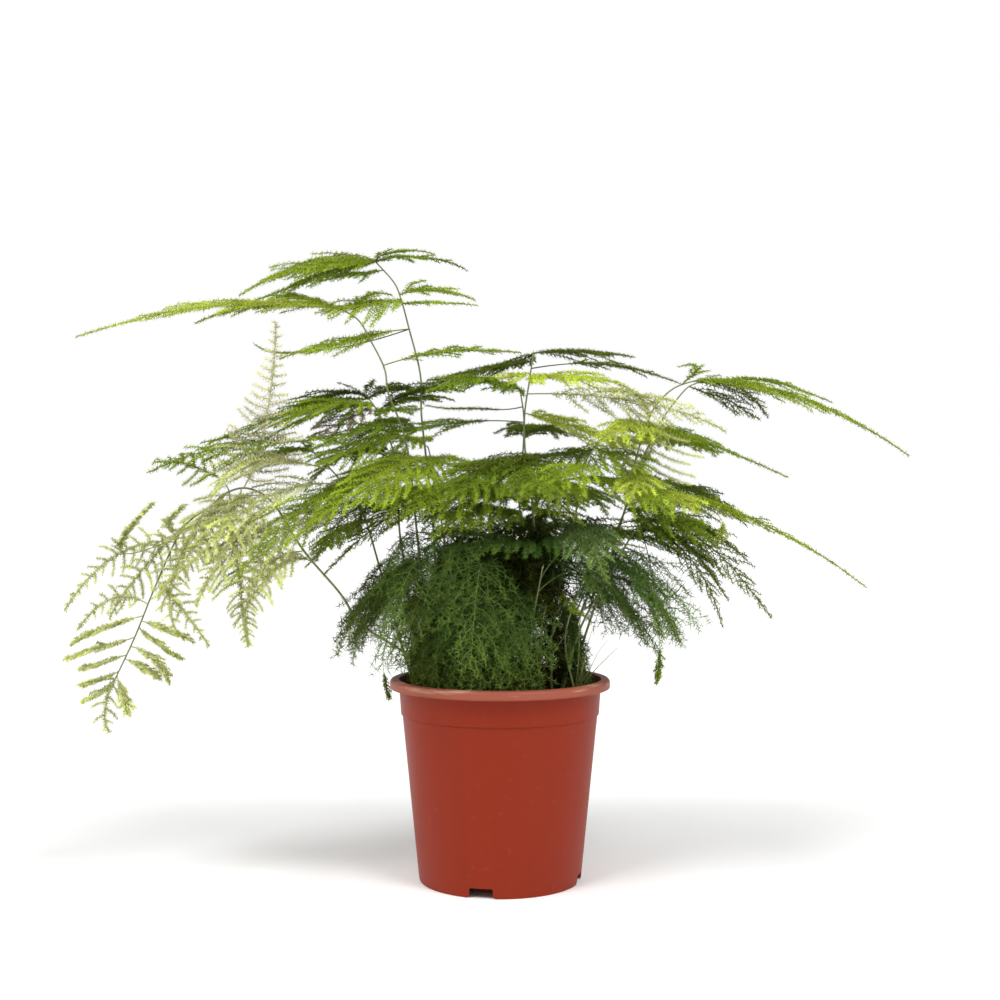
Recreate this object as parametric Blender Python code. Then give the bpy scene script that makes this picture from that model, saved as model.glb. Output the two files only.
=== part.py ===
"""Potted asparagus fern in a plastic nursery pot.

The pot and the soil are turned solids. Each leafy stem is one closed mesh that is grown face by
face: the ribs of its sprays grow out of the stem's faces, branchlets out of the ribs' faces, and
needles out of the branchlets' faces. Whatever would touch something already there is bent clear,
shortened or left off, so that no two stems meet.

Routes are written in millimetres, with +Z up, -Y to the front and the origin under the pot's axis.
"""

import math
import random
from dataclasses import dataclass, field

import bmesh
import bpy
import numpy as np
from mathutils import Vector

MM = 0.001

POT_HEIGHT = 155.0
RIM_RADIUS = 85.0
RIM_DEPTH = 7.0
MOUTH_RADIUS = 78.0
WALL = 1.5
BAND_BOTTOM = 128.0
BAND_RADIUS = 76.5
BAND_STEP = 1.1
FOOT_RADIUS = 62.3
TAPER_FOOT_RADIUS = 62.7
FLOOR_HEIGHT = 9.0
FLOOR_THICKNESS = 1.6
NOTCH_HALF_WIDTH = 9.0
NOTCH_HEIGHT = 7.6
NOTCH_FLARE = 2.5
NOTCH_REACH = 8.0
NOTCH_ANGLES = (-13.0, 77.0, 167.0, 257.0)
DRAIN_RADIUS = 4.0
DRAIN_CIRCLE = 50.0
DRAINS = 8
TURN_STEPS = 32

SOIL_TOP = 140.0
CRUMB_HEIGHT = 1.4
CRUMB_RINGS = (58.0, 32.0)
CRUMB_SEED = 7
GAP = 0.3
HOLE_DEPTH = 12.0
HOLE_MARGIN = 6.0
HOLE_SIDES = 6

STEM_START = 141.0
STEM_BASE_RADIUS = 1.25
STEM_TOP_RADIUS = 0.8
STEM_COLLAR = 0.8
RIB_BASE_RADIUS = 0.75
RIB_TIP_RADIUS = 0.5
TWIG_RADIUS = 0.45
ROD_RADIUS = 0.5
NODE_LENGTH = 1.1
NEEDLE_LENGTH = 5.0
NEEDLE_LEAN = 0.65
RIB_NEEDLE_LENGTHS = (4.5, 8.0)
BRANCHLET_LEAN = math.radians(52.0)
BRANCHLET_DROOP = 0.1
BRANCHLET_LEAST = 9.5
BRANCHLET_SEED = 41
BRANCHLET_SIZES = (1.0, 0.75, 0.55)
BRANCHLET_TILTS = (0.0, 0.25, -0.25, 0.5, -0.5)
STATION_GAP = 39.0
FIRST_STATION = 0.35
LEAFY_SHARE = 0.97
CLEAR = 0.35
RIB_CLEAR = 1.3
RIB_ROOT = 7.0
RIB_TOP_START = 3.0
RIB_SHIFTS = (6.0, 12.0, 18.0, 26.0)
CHILD_SPACING = 2.6
STEM_BEND = math.radians(9.0)
RIB_BEND = math.radians(18.0)
RING_STEP = 3.0
RING_ROOM = 4.0
CURVE_STEPS = 6
RIB_STEPS = 14

SOFT_GREEN = (0.105, 0.245, 0.045, 1.0)
DEEP_GREEN = (0.035, 0.12, 0.022, 1.0)
BLUE_GREEN = (0.06, 0.17, 0.06, 1.0)
POT_COLOUR = (0.33, 0.055, 0.03, 1.0)
SOIL_COLOUR = (0.035, 0.02, 0.012, 1.0)


@dataclass(frozen=True)
class Spray:
    """A flat spray: where its rib leaves the stem's route, a point it passes, and its tip."""

    at: float
    via: tuple
    tip: tuple
    half_width: float
    facing: tuple = (0.0, 0.0, 1.0)
    bare: float = 0.14


@dataclass(frozen=True)
class Stem:
    """A stem's route, from the soil to the last point, and the sprays it carries."""

    name: str
    colour: tuple
    route: tuple
    sprays: tuple


FRONT_UP = (0.0, -0.5, 1.0)

TALL_STEMS = (
    Stem(
        "stem_tall_left",
        SOFT_GREEN,
        ((-40, 2, 141), (-48, 6, 210), (-53, 12, 280), (-58, 16, 325), (-62, 20, 360),
         (-63, 22, 392), (-72, 25, 428), (-78, 26, 450), (-84, 27, 465), (-99, 28, 482)),
        (
            Spray(9.0, (-150, 12, 483), (-199, -12, 450), 46),
            Spray(8.4, (-66, 44, 486), (-27, 62, 477), 14),
            Spray(8.7, (-78, -8, 490), (-50, -30, 482), 12),
            Spray(7.1, (-112, -6, 449), (-141, -14, 437), 32),
            Spray(7.3, (-52, 42, 463), (-19, 55, 450), 30),
            Spray(6.0, (-130, -2, 416), (-188, -14, 406), 18),
            Spray(3.0, (-105, -58, 322), (-150, -110, 262), 46, FRONT_UP),
        ),
    ),
    Stem(
        "stem_outer_left",
        SOFT_GREEN,
        ((-52, -4, 141), (-60, -6, 230), (-64, -8, 268), (-70, -8, 325), (-77, -8, 352),
         (-86, -8, 375), (-89, -8, 394), (-100, -8, 416), (-109, -8, 431), (-123, -8, 440)),
        (
            Spray(9.0, (-222, -20, 441), (-319, -30, 416), 30, bare=0.2),
            Spray(8.3, (-105, 20, 454), (-86, 40, 456), 13),
            Spray(8.7, (-160, 24, 455), (-214, 45, 452), 20),
            Spray(6.1, (-40, 20, 412), (18, 40, 411), 25),
            Spray(3.1, (-117, -50, 318), (-176, -85, 268), 44, FRONT_UP),
            Spray(4.0, (-98, 66, 352), (-130, 130, 318), 38),
        ),
    ),
    Stem(
        "stem_left_dark",
        DEEP_GREEN,
        ((-62, 8, 141), (-74, 12, 235), (-79, 14, 270), (-82, 15, 322), (-90, 16, 348),
         (-96, 17, 362), (-103, 18, 372)),
        (
            Spray(6.0, (-160, 4, 373), (-222, -16, 335), 42, (0.1, -0.1, 1.0)),
            Spray(5.0, (-68, 42, 386), (-28, 60, 384), 30),
            Spray(3.0, (-122, 60, 332), (-165, 102, 300), 36),
        ),
    ),
    Stem(
        "stem_left_low",
        SOFT_GREEN,
        ((-64, -8, 141), (-90, -10, 232), (-103, -12, 277), (-113, -13, 297), (-124, -14, 310),
         (-138, -16, 325), (-152, -18, 337)),
        (
            Spray(6.0, (-205, -26, 335), (-262, -38, 314), 36, (0.0, -0.3, 1.0)),
            Spray(5.2, (-172, 22, 331), (-216, 42, 312), 34),
            Spray(3.2, (-142, -58, 287), (-190, -95, 236), 36, FRONT_UP),
            Spray(2.0, (-126, 38, 268), (-160, 76, 238), 32),
        ),
    ),
    Stem(
        "stem_arching_left",
        SOFT_GREEN,
        ((-34, -8, 141), (-58, -12, 164), (-79, -16, 180), (-106, -19, 198), (-122, -21, 222),
         (-149, -23, 254), (-171, -25, 289), (-189, -26, 301), (-205, -26, 299),
         (-219, -27, 288), (-240, -27, 271)),
        (
            Spray(10.0, (-272, -28, 205), (-290, -28, 116), 40, (0.2, -1.0, 0.25), 0.2),
            Spray(7.3, (-178, -22, 352), (-171, -18, 428), 26, (0.0, -1.0, 0.1), 0.25),
            Spray(8.0, (-224, -34, 316), (-258, -42, 321), 16, (0.0, -0.8, 0.5), 0.3),
            Spray(9.5, (-268, -38, 281), (-290, -44, 258), 18, (0.0, -1.0, 0.2)),
            Spray(9.8, (-283, -48, 247), (-323, -46, 210), 20, (0.0, -1.0, 0.3), 0.3),
            Spray(9.2, (-234, -54, 228), (-212, -60, 186), 20, (0.0, -1.0, 0.3), 0.3),
            Spray(5.0, (-180, -56, 234), (-184, -66, 186), 24, (0.0, -0.8, 0.6), 0.2),
            Spray(5.4, (-188, -42, 264), (-222, -54, 224), 34, (0.0, -0.8, 0.6)),
            Spray(4.7, (-174, 12, 240), (-210, 22, 192), 18, (0.0, -0.6, 0.8)),
        ),
    ),
    Stem(
        "stem_centre_back",
        DEEP_GREEN,
        ((18, 14, 141), (21, 18, 190), (19, 20, 238), (16, 22, 280), (15, 24, 303),
         (18, 26, 328), (19, 27, 357), (16, 27, 380)),
        (
            Spray(7.0, (-18, -38, 388), (-52, -80, 370), 34),
            Spray(6.4, (-20, 2, 363), (-60, -12, 366), 5, bare=0.4),
            Spray(5.9, (-50, 6, 351), (-122, -15, 333), 20),
            Spray(5.4, (26, 92, 356), (20, 162, 334), 42),
            Spray(4.7, (-4, -64, 321), (-22, -150, 282), 42, FRONT_UP),
            Spray(3.5, (-62, -30, 288), (-130, -42, 236), 26, (0.0, -0.3, 1.0)),
        ),
    ),
    Stem(
        "stem_centre_tall",
        DEEP_GREEN,
        ((30, -4, 141), (32, -2, 200), (28, 0, 250), (24, 1, 300), (20, 2, 325), (19, 3, 357),
         (23, 4, 386), (26, 6, 407)),
        (
            Spray(7.0, (62, 2, 410), (101, -8, 403), 30),
            Spray(6.7, (-28, 12, 400), (-86, 16, 383), 34),
            Spray(6.4, (86, 46, 402), (147, 62, 390), 16),
            Spray(6.1, (48, -38, 386), (85, -62, 380), 32),
            Spray(5.6, (100, -26, 377), (168, -36, 345), 36, FRONT_UP),
            Spray(5.1, (62, 34, 362), (106, 58, 349), 38),
            Spray(4.0, (26, -76, 325), (40, -164, 299), 44),
            Spray(3.2, (62, 62, 303), (92, 124, 280), 40),
        ),
    ),
    Stem(
        "stem_centre_right",
        SOFT_GREEN,
        ((40, -9, 141), (39, -9, 178), (42, -9, 200), (49, -9, 244), (57, -9, 270),
         (61, -9, 306), (70, -8, 330), (84, -4, 345)),
        (
            Spray(7.0, (150, 5, 350), (226, 20, 311), 40),
            Spray(6.6, (116, -36, 336), (148, -52, 322), 34),
            Spray(6.1, (20, -42, 333), (-32, -72, 318), 36),
            Spray(5.1, (96, -56, 306), (122, -102, 280), 38),
            Spray(4.0, (64, -66, 268), (74, -124, 236), 36, FRONT_UP),
        ),
    ),
    Stem(
        "stem_right_tall",
        SOFT_GREEN,
        ((47, 4, 141), (56, 6, 183), (70, 7, 222), (88, 8, 262), (99, 8, 289), (104, 9, 316),
         (113, 9, 347), (121, 10, 365), (136, 10, 380), (156, 10, 387)),
        (
            Spray(9.0, (240, 15, 371), (322, 20, 328), 34),
            Spray(8.7, (214, 40, 391), (272, 50, 377), 12, bare=0.4),
            Spray(8.3, (150, -10, 396), (136, -22, 396), 8, bare=0.3),
            Spray(4.3, (170, -10, 290), (280, -14, 226), 30),
            Spray(5.0, (102, -54, 309), (98, -106, 282), 40, FRONT_UP),
            Spray(6.2, (98, -46, 352), (76, -88, 335), 34, FRONT_UP),
            Spray(6.7, (138, -40, 346), (154, -78, 321), 30, FRONT_UP),
            Spray(5.6, (132, 72, 337), (150, 144, 304), 40),
        ),
    ),
    Stem(
        "stem_right_back",
        DEEP_GREEN,
        ((52, 14, 141), (72, 21, 200), (90, 25, 255), (106, 27, 307), (120, 28, 340),
         (129, 29, 357), (147, 30, 380), (157, 31, 386)),
        (
            Spray(7.0, (192, 33, 383), (214, 36, 359), 24, (0.0, -0.3, 1.0)),
            Spray(6.3, (180, 22, 373), (203, 12, 356), 14, (0.0, -0.3, 1.0)),
            Spray(5.0, (152, 82, 352), (192, 134, 318), 36),
            Spray(3.0, (150, 60, 303), (205, 78, 275), 36),
        ),
    ),
    Stem(
        "stem_right_low",
        DEEP_GREEN,
        ((47, -14, 141), (57, -15, 182), (67, -15, 206), (85, -15, 237), (95, -15, 256),
         (104, -15, 269), (116, -15, 278)),
        (
            Spray(6.0, (160, -26, 256), (203, -36, 205), 30, (0.1, 0.0, 1.0)),
            Spray(5.6, (152, 2, 273), (192, 6, 246), 22),
            Spray(5.3, (142, -42, 249), (164, -54, 200), 20, (0.2, -0.3, 1.0)),
            Spray(4.7, (142, 30, 262), (184, 46, 212), 30),
            Spray(4.0, (116, -60, 236), (132, -92, 190), 32, (0.2, -0.4, 1.0)),
        ),
    ),
)

BACK_STEMS = (
    Stem(
        "stem_back_left",
        SOFT_GREEN,
        ((-28, 34, 141), (-36, 52, 200), (-46, 70, 260), (-54, 84, 310), (-60, 92, 336)),
        (
            Spray(4.0, (-82, 130, 344), (-102, 166, 314), 40),
            Spray(3.2, (-110, 98, 318), (-162, 128, 282), 36),
            Spray(2.3, (-44, 118, 280), (-56, 160, 250), 38),
            Spray(2.8, (-6, 104, 302), (36, 132, 276), 34),
        ),
    ),
    Stem(
        "stem_back_right",
        SOFT_GREEN,
        ((14, 40, 141), (22, 60, 200), (34, 80, 258), (44, 94, 304), (52, 104, 326)),
        (
            Spray(4.0, (74, 128, 334), (92, 156, 306), 40),
            Spray(3.1, (104, 108, 306), (158, 134, 270), 36),
            Spray(2.2, (40, 122, 268), (50, 156, 238), 36),
        ),
    ),
)


@dataclass(frozen=True)
class LowStem:
    """A short arching stem of the lower bush, set out by its heading in degrees from +X."""

    heading: float
    base: tuple
    rise: float
    reach: float
    tip_height: float
    colour: tuple = BLUE_GREEN


LOW_STEMS = (
    LowStem(-92.0, (-8, -30), 232, 108, 176),
    LowStem(-128.0, (-30, -24), 246, 122, 172),
    LowStem(-160.0, (-54, -26), 222, 128, 170),
    LowStem(164.0, (-60, 24), 218, 120, 184),
    LowStem(-58.0, (24, -34), 240, 116, 174),
    LowStem(-26.0, (58, -26), 232, 132, 170),
    LowStem(8.0, (66, 12), 226, 134, 176),
    LowStem(52.0, (44, 36), 228, 118, 180, DEEP_GREEN),
    LowStem(96.0, (-6, 46), 232, 120, 178, DEEP_GREEN),
    LowStem(136.0, (-44, 38), 230, 118, 180, DEEP_GREEN),
)
LOW_SIDE_TURN = 40.0
LOW_SIDE_DROP = 26.0
LOW_HALF_WIDTH = 32.0


def polar(base, heading, distance, height):
    """The point at a distance from a stem's base along a heading, at a height, in mm."""
    angle = math.radians(heading)
    x = base[0] * 0.5 + distance * math.cos(angle)
    y = base[1] * 0.5 + distance * math.sin(angle)
    return (x, y, height)


def low_stem(number, low):
    """A short stem with one plume along its heading and one on each side, lower down."""
    route = (
        (low.base[0], low.base[1], STEM_START),
        polar(low.base, low.heading, 0.20 * low.reach, 0.5 * (low.rise + STEM_START)),
        polar(low.base, low.heading, 0.34 * low.reach, low.rise),
    )
    sprays = [
        Spray(
            2.0,
            polar(low.base, low.heading, 0.70 * low.reach, low.rise + 4),
            polar(low.base, low.heading, low.reach, low.tip_height),
            LOW_HALF_WIDTH,
        )
    ]
    for leaves_at, turn in ((1.65, LOW_SIDE_TURN), (1.25, -LOW_SIDE_TURN)):
        heading = low.heading + turn
        drop = LOW_SIDE_DROP * (2.0 - leaves_at)
        sprays.append(
            Spray(
                leaves_at,
                polar(low.base, heading, 0.62 * low.reach, low.rise - drop),
                polar(low.base, heading, 0.90 * low.reach, low.tip_height - 0.3 * drop),
                LOW_HALF_WIDTH * 0.8,
            )
        )
    return Stem(f"stem_low_{number + 1:02d}", low.colour, route, tuple(sprays))


def segment_distances(start, end, starts, ends):
    """Least distance from the segment start-end to each of many segments, in metres."""
    along = end - start
    others = ends - starts
    between = start - starts
    a = along @ along
    e = np.einsum("ij,ij->i", others, others) + 1e-18
    b = others @ along
    c = between @ along
    f = np.einsum("ij,ij->i", others, between)
    denominator = a * e - b * b
    s = np.where(denominator > 1e-20, (b * f - c * e) / np.maximum(denominator, 1e-20), 0.0)
    s = np.clip(s, 0.0, 1.0)
    t = np.clip((b * s + f) / e, 0.0, 1.0)
    s = np.clip((b * t - c) / a, 0.0, 1.0)
    t = np.clip((b * s + f) / e, 0.0, 1.0)
    gap = between + s[:, None] * along - t[:, None] * others
    return np.sqrt(np.einsum("ij,ij->i", gap, gap))


class Crowd:
    """Every round rod already placed, each a start, an end, a radius and the stem it is part of."""

    def __init__(self):
        self.starts = np.empty((0, 3))
        self.ends = np.empty((0, 3))
        self.radii = np.empty(0)
        self.owners = np.empty(0, dtype=int)
        self.tubes = np.empty(0, dtype=int)

    def add(self, rods, owner, tube):
        """Keep rods, a list of (start, end, radius)."""
        self.starts = np.vstack([self.starts, [tuple(rod[0]) for rod in rods]])
        self.ends = np.vstack([self.ends, [tuple(rod[1]) for rod in rods]])
        self.radii = np.append(self.radii, [rod[2] for rod in rods])
        self.owners = np.append(self.owners, [owner] * len(rods))
        self.tubes = np.append(self.tubes, [tube] * len(rods))

    def free(self, rods, owner, root, root_radius, skip=(), clear=CLEAR):
        """Whether rods clear all others, apart from their own stem close to where they root."""
        if not len(self.radii):
            return True
        root = np.array(root)
        near = segment_distances(root, root + 1e-7, self.starts, self.ends) < root_radius
        ignored = (near & (self.owners == owner)) | np.isin(self.tubes, skip)
        for start, end, radius in rods:
            start, end = np.array(start), np.array(end)
            reach = segment_distances(start, end, self.starts, self.ends)
            if np.any((reach < self.radii + radius + clear * MM) & ~ignored):
                return False
        return True


class Path:
    """A polyline with lengths along it, and a steady frame at each point."""

    def __init__(self, points, up):
        self.points = [Vector(point) for point in points]
        self.up = Vector(up).normalized()
        self.lengths = [0.0]
        for first, second in zip(self.points, self.points[1:]):
            self.lengths.append(self.lengths[-1] + (second - first).length)
        self.length = self.lengths[-1]

    def point(self, distance):
        """The point at a distance along the path."""
        distance = min(max(distance, 0.0), self.length)
        for index in range(1, len(self.points)):
            if distance <= self.lengths[index]:
                span = self.lengths[index] - self.lengths[index - 1]
                share = (distance - self.lengths[index - 1]) / max(span, 1e-9)
                return self.points[index - 1].lerp(self.points[index], share)
        return self.points[-1].copy()

    def frame(self, distance):
        """The point, the direction, the side and the upper side there."""
        step = 1.5 * MM
        ahead = self.point(distance + step) - self.point(distance - step)
        tangent = ahead.normalized()
        up = (self.up - tangent * self.up.dot(tangent)).normalized()
        return self.point(distance), tangent, up.cross(tangent), up

    def rods(self, first, last, radius, step=6 * MM):
        """Rods along the path between two distances."""
        count = max(1, math.ceil((last - first) / step))
        marks = [first + (last - first) * index / count for index in range(count + 1)]
        points = [self.point(mark) for mark in marks]
        return [(start, end, radius) for start, end in zip(points, points[1:])]


def stem_path(route):
    """A smooth path through a stem's route, with a straight root in the soil."""
    points = [Vector(point) * MM for point in route]
    padded = [points[0] * 2 - points[1], *points, points[-1] * 2 - points[-2]]
    curve = [points[0] - Vector((0, 0, HOLE_DEPTH * MM))]
    for index in range(len(points) - 1):
        before, start, end, after = padded[index : index + 4]
        for step in range(CURVE_STEPS):
            t = step / CURVE_STEPS
            curve.append(
                0.5
                * (
                    2 * start
                    + (end - before) * t
                    + (2 * before - 5 * start + 4 * end - after) * t * t
                    + (3 * start - before - 3 * end + after) * t**3
                )
            )
    curve.append(points[-1])
    path = Path(curve, (0.0, -1.0, 0.0))
    marks = [path.lengths[1 + CURVE_STEPS * index] for index in range(len(points))]
    return path, marks


def rib_path(base, via, tip, facing):
    """A bowed path from base through via, halfway, to tip."""
    bend = via * 2 - (base + tip) * 0.5
    points = []
    for step in range(RIB_STEPS + 1):
        t = step / RIB_STEPS
        points.append(base * (1 - t) ** 2 + bend * (2 * t * (1 - t)) + tip * t * t)
    return Path(points, facing)


@dataclass
class Tube:
    """One round twig: its path, the ring it starts with, its sides, and what grows on it."""

    path: Path
    first: float
    last: float
    base_radius: float
    tip_radius: float
    sides: int
    stations: list = field(default_factory=list)
    first_rings: tuple = ()
    end: object = None

    def radius(self, distance):
        """The radius at a distance along the path."""
        share = (distance - self.first) / max(self.last - self.first, 1e-9)
        return self.base_radius + (self.tip_radius - self.base_radius) * min(max(share, 0.0), 1.0)

    def corner_angle(self, number):
        """The angle of a ring's corner, with the first face of three on the left."""
        start = 90.0 if self.sides == 3 else 45.0
        return math.radians(start + 360.0 * number / self.sides)

    def face_direction(self, distance, number):
        """The outward direction of a side face."""
        _, _, side, up = self.path.frame(distance)
        middle = self.corner_angle(number + 0.5)
        return side * math.cos(middle) + up * math.sin(middle)


@dataclass
class Station:
    """A place along a tube. items gives, by face number, a Tube that grows there or a needle's tip."""

    distance: float
    items: dict = field(default_factory=dict)


SPRAY_ENVELOPE = ((0.0, 0.55), (0.22, 1.0), (0.5, 0.8), (0.8, 0.42), (1.0, 0.12))


def envelope(share):
    """A spray's width at a share of its leafy length, against its greatest."""
    for (start, low), (end, high) in zip(SPRAY_ENVELOPE, SPRAY_ENVELOPE[1:]):
        if share <= end:
            return low + (high - low) * (share - start) / (end - start)
    return SPRAY_ENVELOPE[-1][1]


def whorl(tube, distance, length):
    """Needle tips for the faces of a short tube's node, one for each face."""
    point, tangent, _, _ = tube.path.frame(distance)
    tips = {}
    for number in range(tube.sides):
        outward = tube.face_direction(distance, number)
        lean = (outward * (1 - NEEDLE_LEAN * 0.4) + tangent * NEEDLE_LEAN).normalized()
        tips[number] = point + lean * length
    return tips


def branchlet(rib, distance, side, length, tilt):
    """A straight tapering twig with one whorl of needles, growing out of a rib's node."""
    point, tangent, across, up = rib.path.frame(distance)
    flat = across * side
    outward = flat * math.cos(tilt) + up * math.sin(tilt)
    direction = outward * math.sin(BRANCHLET_LEAN) + tangent * math.cos(BRANCHLET_LEAN)
    start = point + outward * 0.3 * MM
    middle = start + direction * 0.5 * length
    end = start + direction * length - Vector((0, 0, BRANCHLET_DROOP * length))
    path = Path([start, middle, end], up)
    twig = Tube(path, 0.45 * length, path.length, TWIG_RADIUS * MM, TWIG_RADIUS * MM, 3)
    node = twig.first + 0.5 * NODE_LENGTH * MM
    tips = whorl(twig, node, NEEDLE_LENGTH * MM)
    twig.stations = [Station(node, dict(tips))]
    radius = ROD_RADIUS * MM
    rods = [(start + direction * 1.0 * MM, middle, radius), (middle, end, radius)]
    root = path.point(node)
    rods += [(root, tip, radius) for tip in tips.values()]
    return twig, rods


def rib_shifts():
    """Sideways and upward shifts in mm, least first, that bend a rib clear of its neighbours."""
    shifts = [Vector((0, 0, 0))]
    for size in RIB_SHIFTS:
        shifts += [
            Vector((0, 0, size)),
            Vector((0, 0, -size)),
            Vector((0, size, 0)),
            Vector((0, -size, 0)),
            Vector((0, size, size)),
            Vector((0, -size, size)),
        ]
    return shifts


class Planner:
    """Plans every stem's tubes, so that none touches another."""

    def __init__(self):
        self.crowd = Crowd()
        self.tube_count = 0

    def new_tube(self):
        """A fresh number for a tube."""
        self.tube_count += 1
        return self.tube_count

    def plan_stem(self, owner, stem):
        """The stem's own tube, from the bottom of its hole to the top of its route."""
        path, marks = stem_path(stem.route)
        tube = Tube(path, 0.0, path.length, STEM_BASE_RADIUS * MM, STEM_TOP_RADIUS * MM, 4)
        tube.first_rings = (0.0, (HOLE_DEPTH + STEM_COLLAR) * MM)
        number = self.new_tube()
        rods = path.rods(0.0, path.length, STEM_BASE_RADIUS * MM)
        if not self.crowd.free(rods, owner, path.points[0], 0.0, clear=RIB_CLEAR):
            print("stem crosses another:", stem.name)
        self.crowd.add(rods, owner, number)
        return tube, marks

    def plan_rib(self, owner, stem, tube, marks, spray):
        """A spray's rib, bent clear of whatever is there already. None if it can't be."""
        whole = min(int(spray.at), len(marks) - 2)
        leave = marks[whole] + (marks[whole + 1] - marks[whole]) * (spray.at - whole)
        at_top = spray.at >= len(marks) - 1
        base = tube.path.point(leave)
        for shift in rib_shifts():
            via = (Vector(spray.via) + shift) * MM
            tip = (Vector(spray.tip) + shift * 0.5) * MM
            path = rib_path(base, via, tip, spray.facing)
            first = 0.0
            clearance = tube.radius(leave) + (1.5 * RIB_BASE_RADIUS + 1.2) * MM
            while (path.point(first) - base).length < clearance:
                first += 0.5 * MM
            if at_top:
                first = RIB_TOP_START * MM
            rods = path.rods(first, path.length, RIB_BASE_RADIUS * MM)
            if self.crowd.free(rods, owner, base, RIB_ROOT * MM, clear=RIB_CLEAR):
                number = self.new_tube()
                self.crowd.add(rods, owner, number)
                rib = Tube(
                    path, first, path.length, RIB_BASE_RADIUS * MM, RIB_TIP_RADIUS * MM, 3
                )
                return rib, number, leave, at_top
        print("rib dropped:", stem.name, spray.via)
        return None

    def fill_rib(self, owner, rib, number, spray, draw):
        """Put branchlets and needles along a rib."""
        bare = max(spray.bare * rib.path.length, rib.first + RING_ROOM * MM)
        leafy = rib.path.length - bare
        count = max(2, round(leafy / (STATION_GAP * MM)))
        shortest, longest = RIB_NEEDLE_LENGTHS
        for index in range(count):
            share = (index + FIRST_STATION) / count
            distance = bare + leafy * share * LEAFY_SHARE
            station = Station(distance)
            length = spray.half_width * envelope(share) * MM / math.sin(BRANCHLET_LEAN)
            for side, face in ((-1, 0), (1, 2)):
                swing = draw.uniform(-0.08, 0.08)
                wanted = length * draw.uniform(0.85, 1.08)
                twig = None
                if wanted > 10 * MM and (2 * index + (side > 0)) % 5 < 3:
                    twig = self.clear_branchlet(owner, rib, number, distance, side, wanted, swing)
                if twig is not None:
                    station.items[face] = twig
                else:
                    reach = min(max(wanted, shortest * MM), longest * MM)
                    self.clear_needle(owner, rib, number, station, face, reach)
            self.clear_needle(owner, rib, number, station, 1, NEEDLE_LENGTH * MM)
            rib.stations.append(station)

    def clear_branchlet(self, owner, rib, number, distance, side, wanted, swing):
        """A branchlet that clears everything, shortened or tilted where it has to be."""
        point = rib.path.point(distance)
        for size in BRANCHLET_SIZES:
            length = wanted * size
            if length < BRANCHLET_LEAST * MM:
                break
            for tilt in BRANCHLET_TILTS:
                twig, rods = branchlet(rib, distance, side, length, tilt + swing)
                if self.crowd.free(rods, owner, point, 0.0, (number,)):
                    self.crowd.add(rods, owner, self.new_tube())
                    return twig
        return None

    def clear_needle(self, owner, rib, number, station, face, reach):
        """A needle on a rib's face, where there is room for it."""
        point, tangent, _, _ = rib.path.frame(station.distance)
        outward = rib.face_direction(station.distance, face)
        tip = point + (outward * 0.8 + tangent * 0.6) * reach
        rods = [(point + outward * 1.0 * MM, tip, ROD_RADIUS * MM)]
        if self.crowd.free(rods, owner, point, 0.0, (number,)):
            self.crowd.add(rods, owner, self.new_tube())
            station.items[face] = tip


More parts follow.
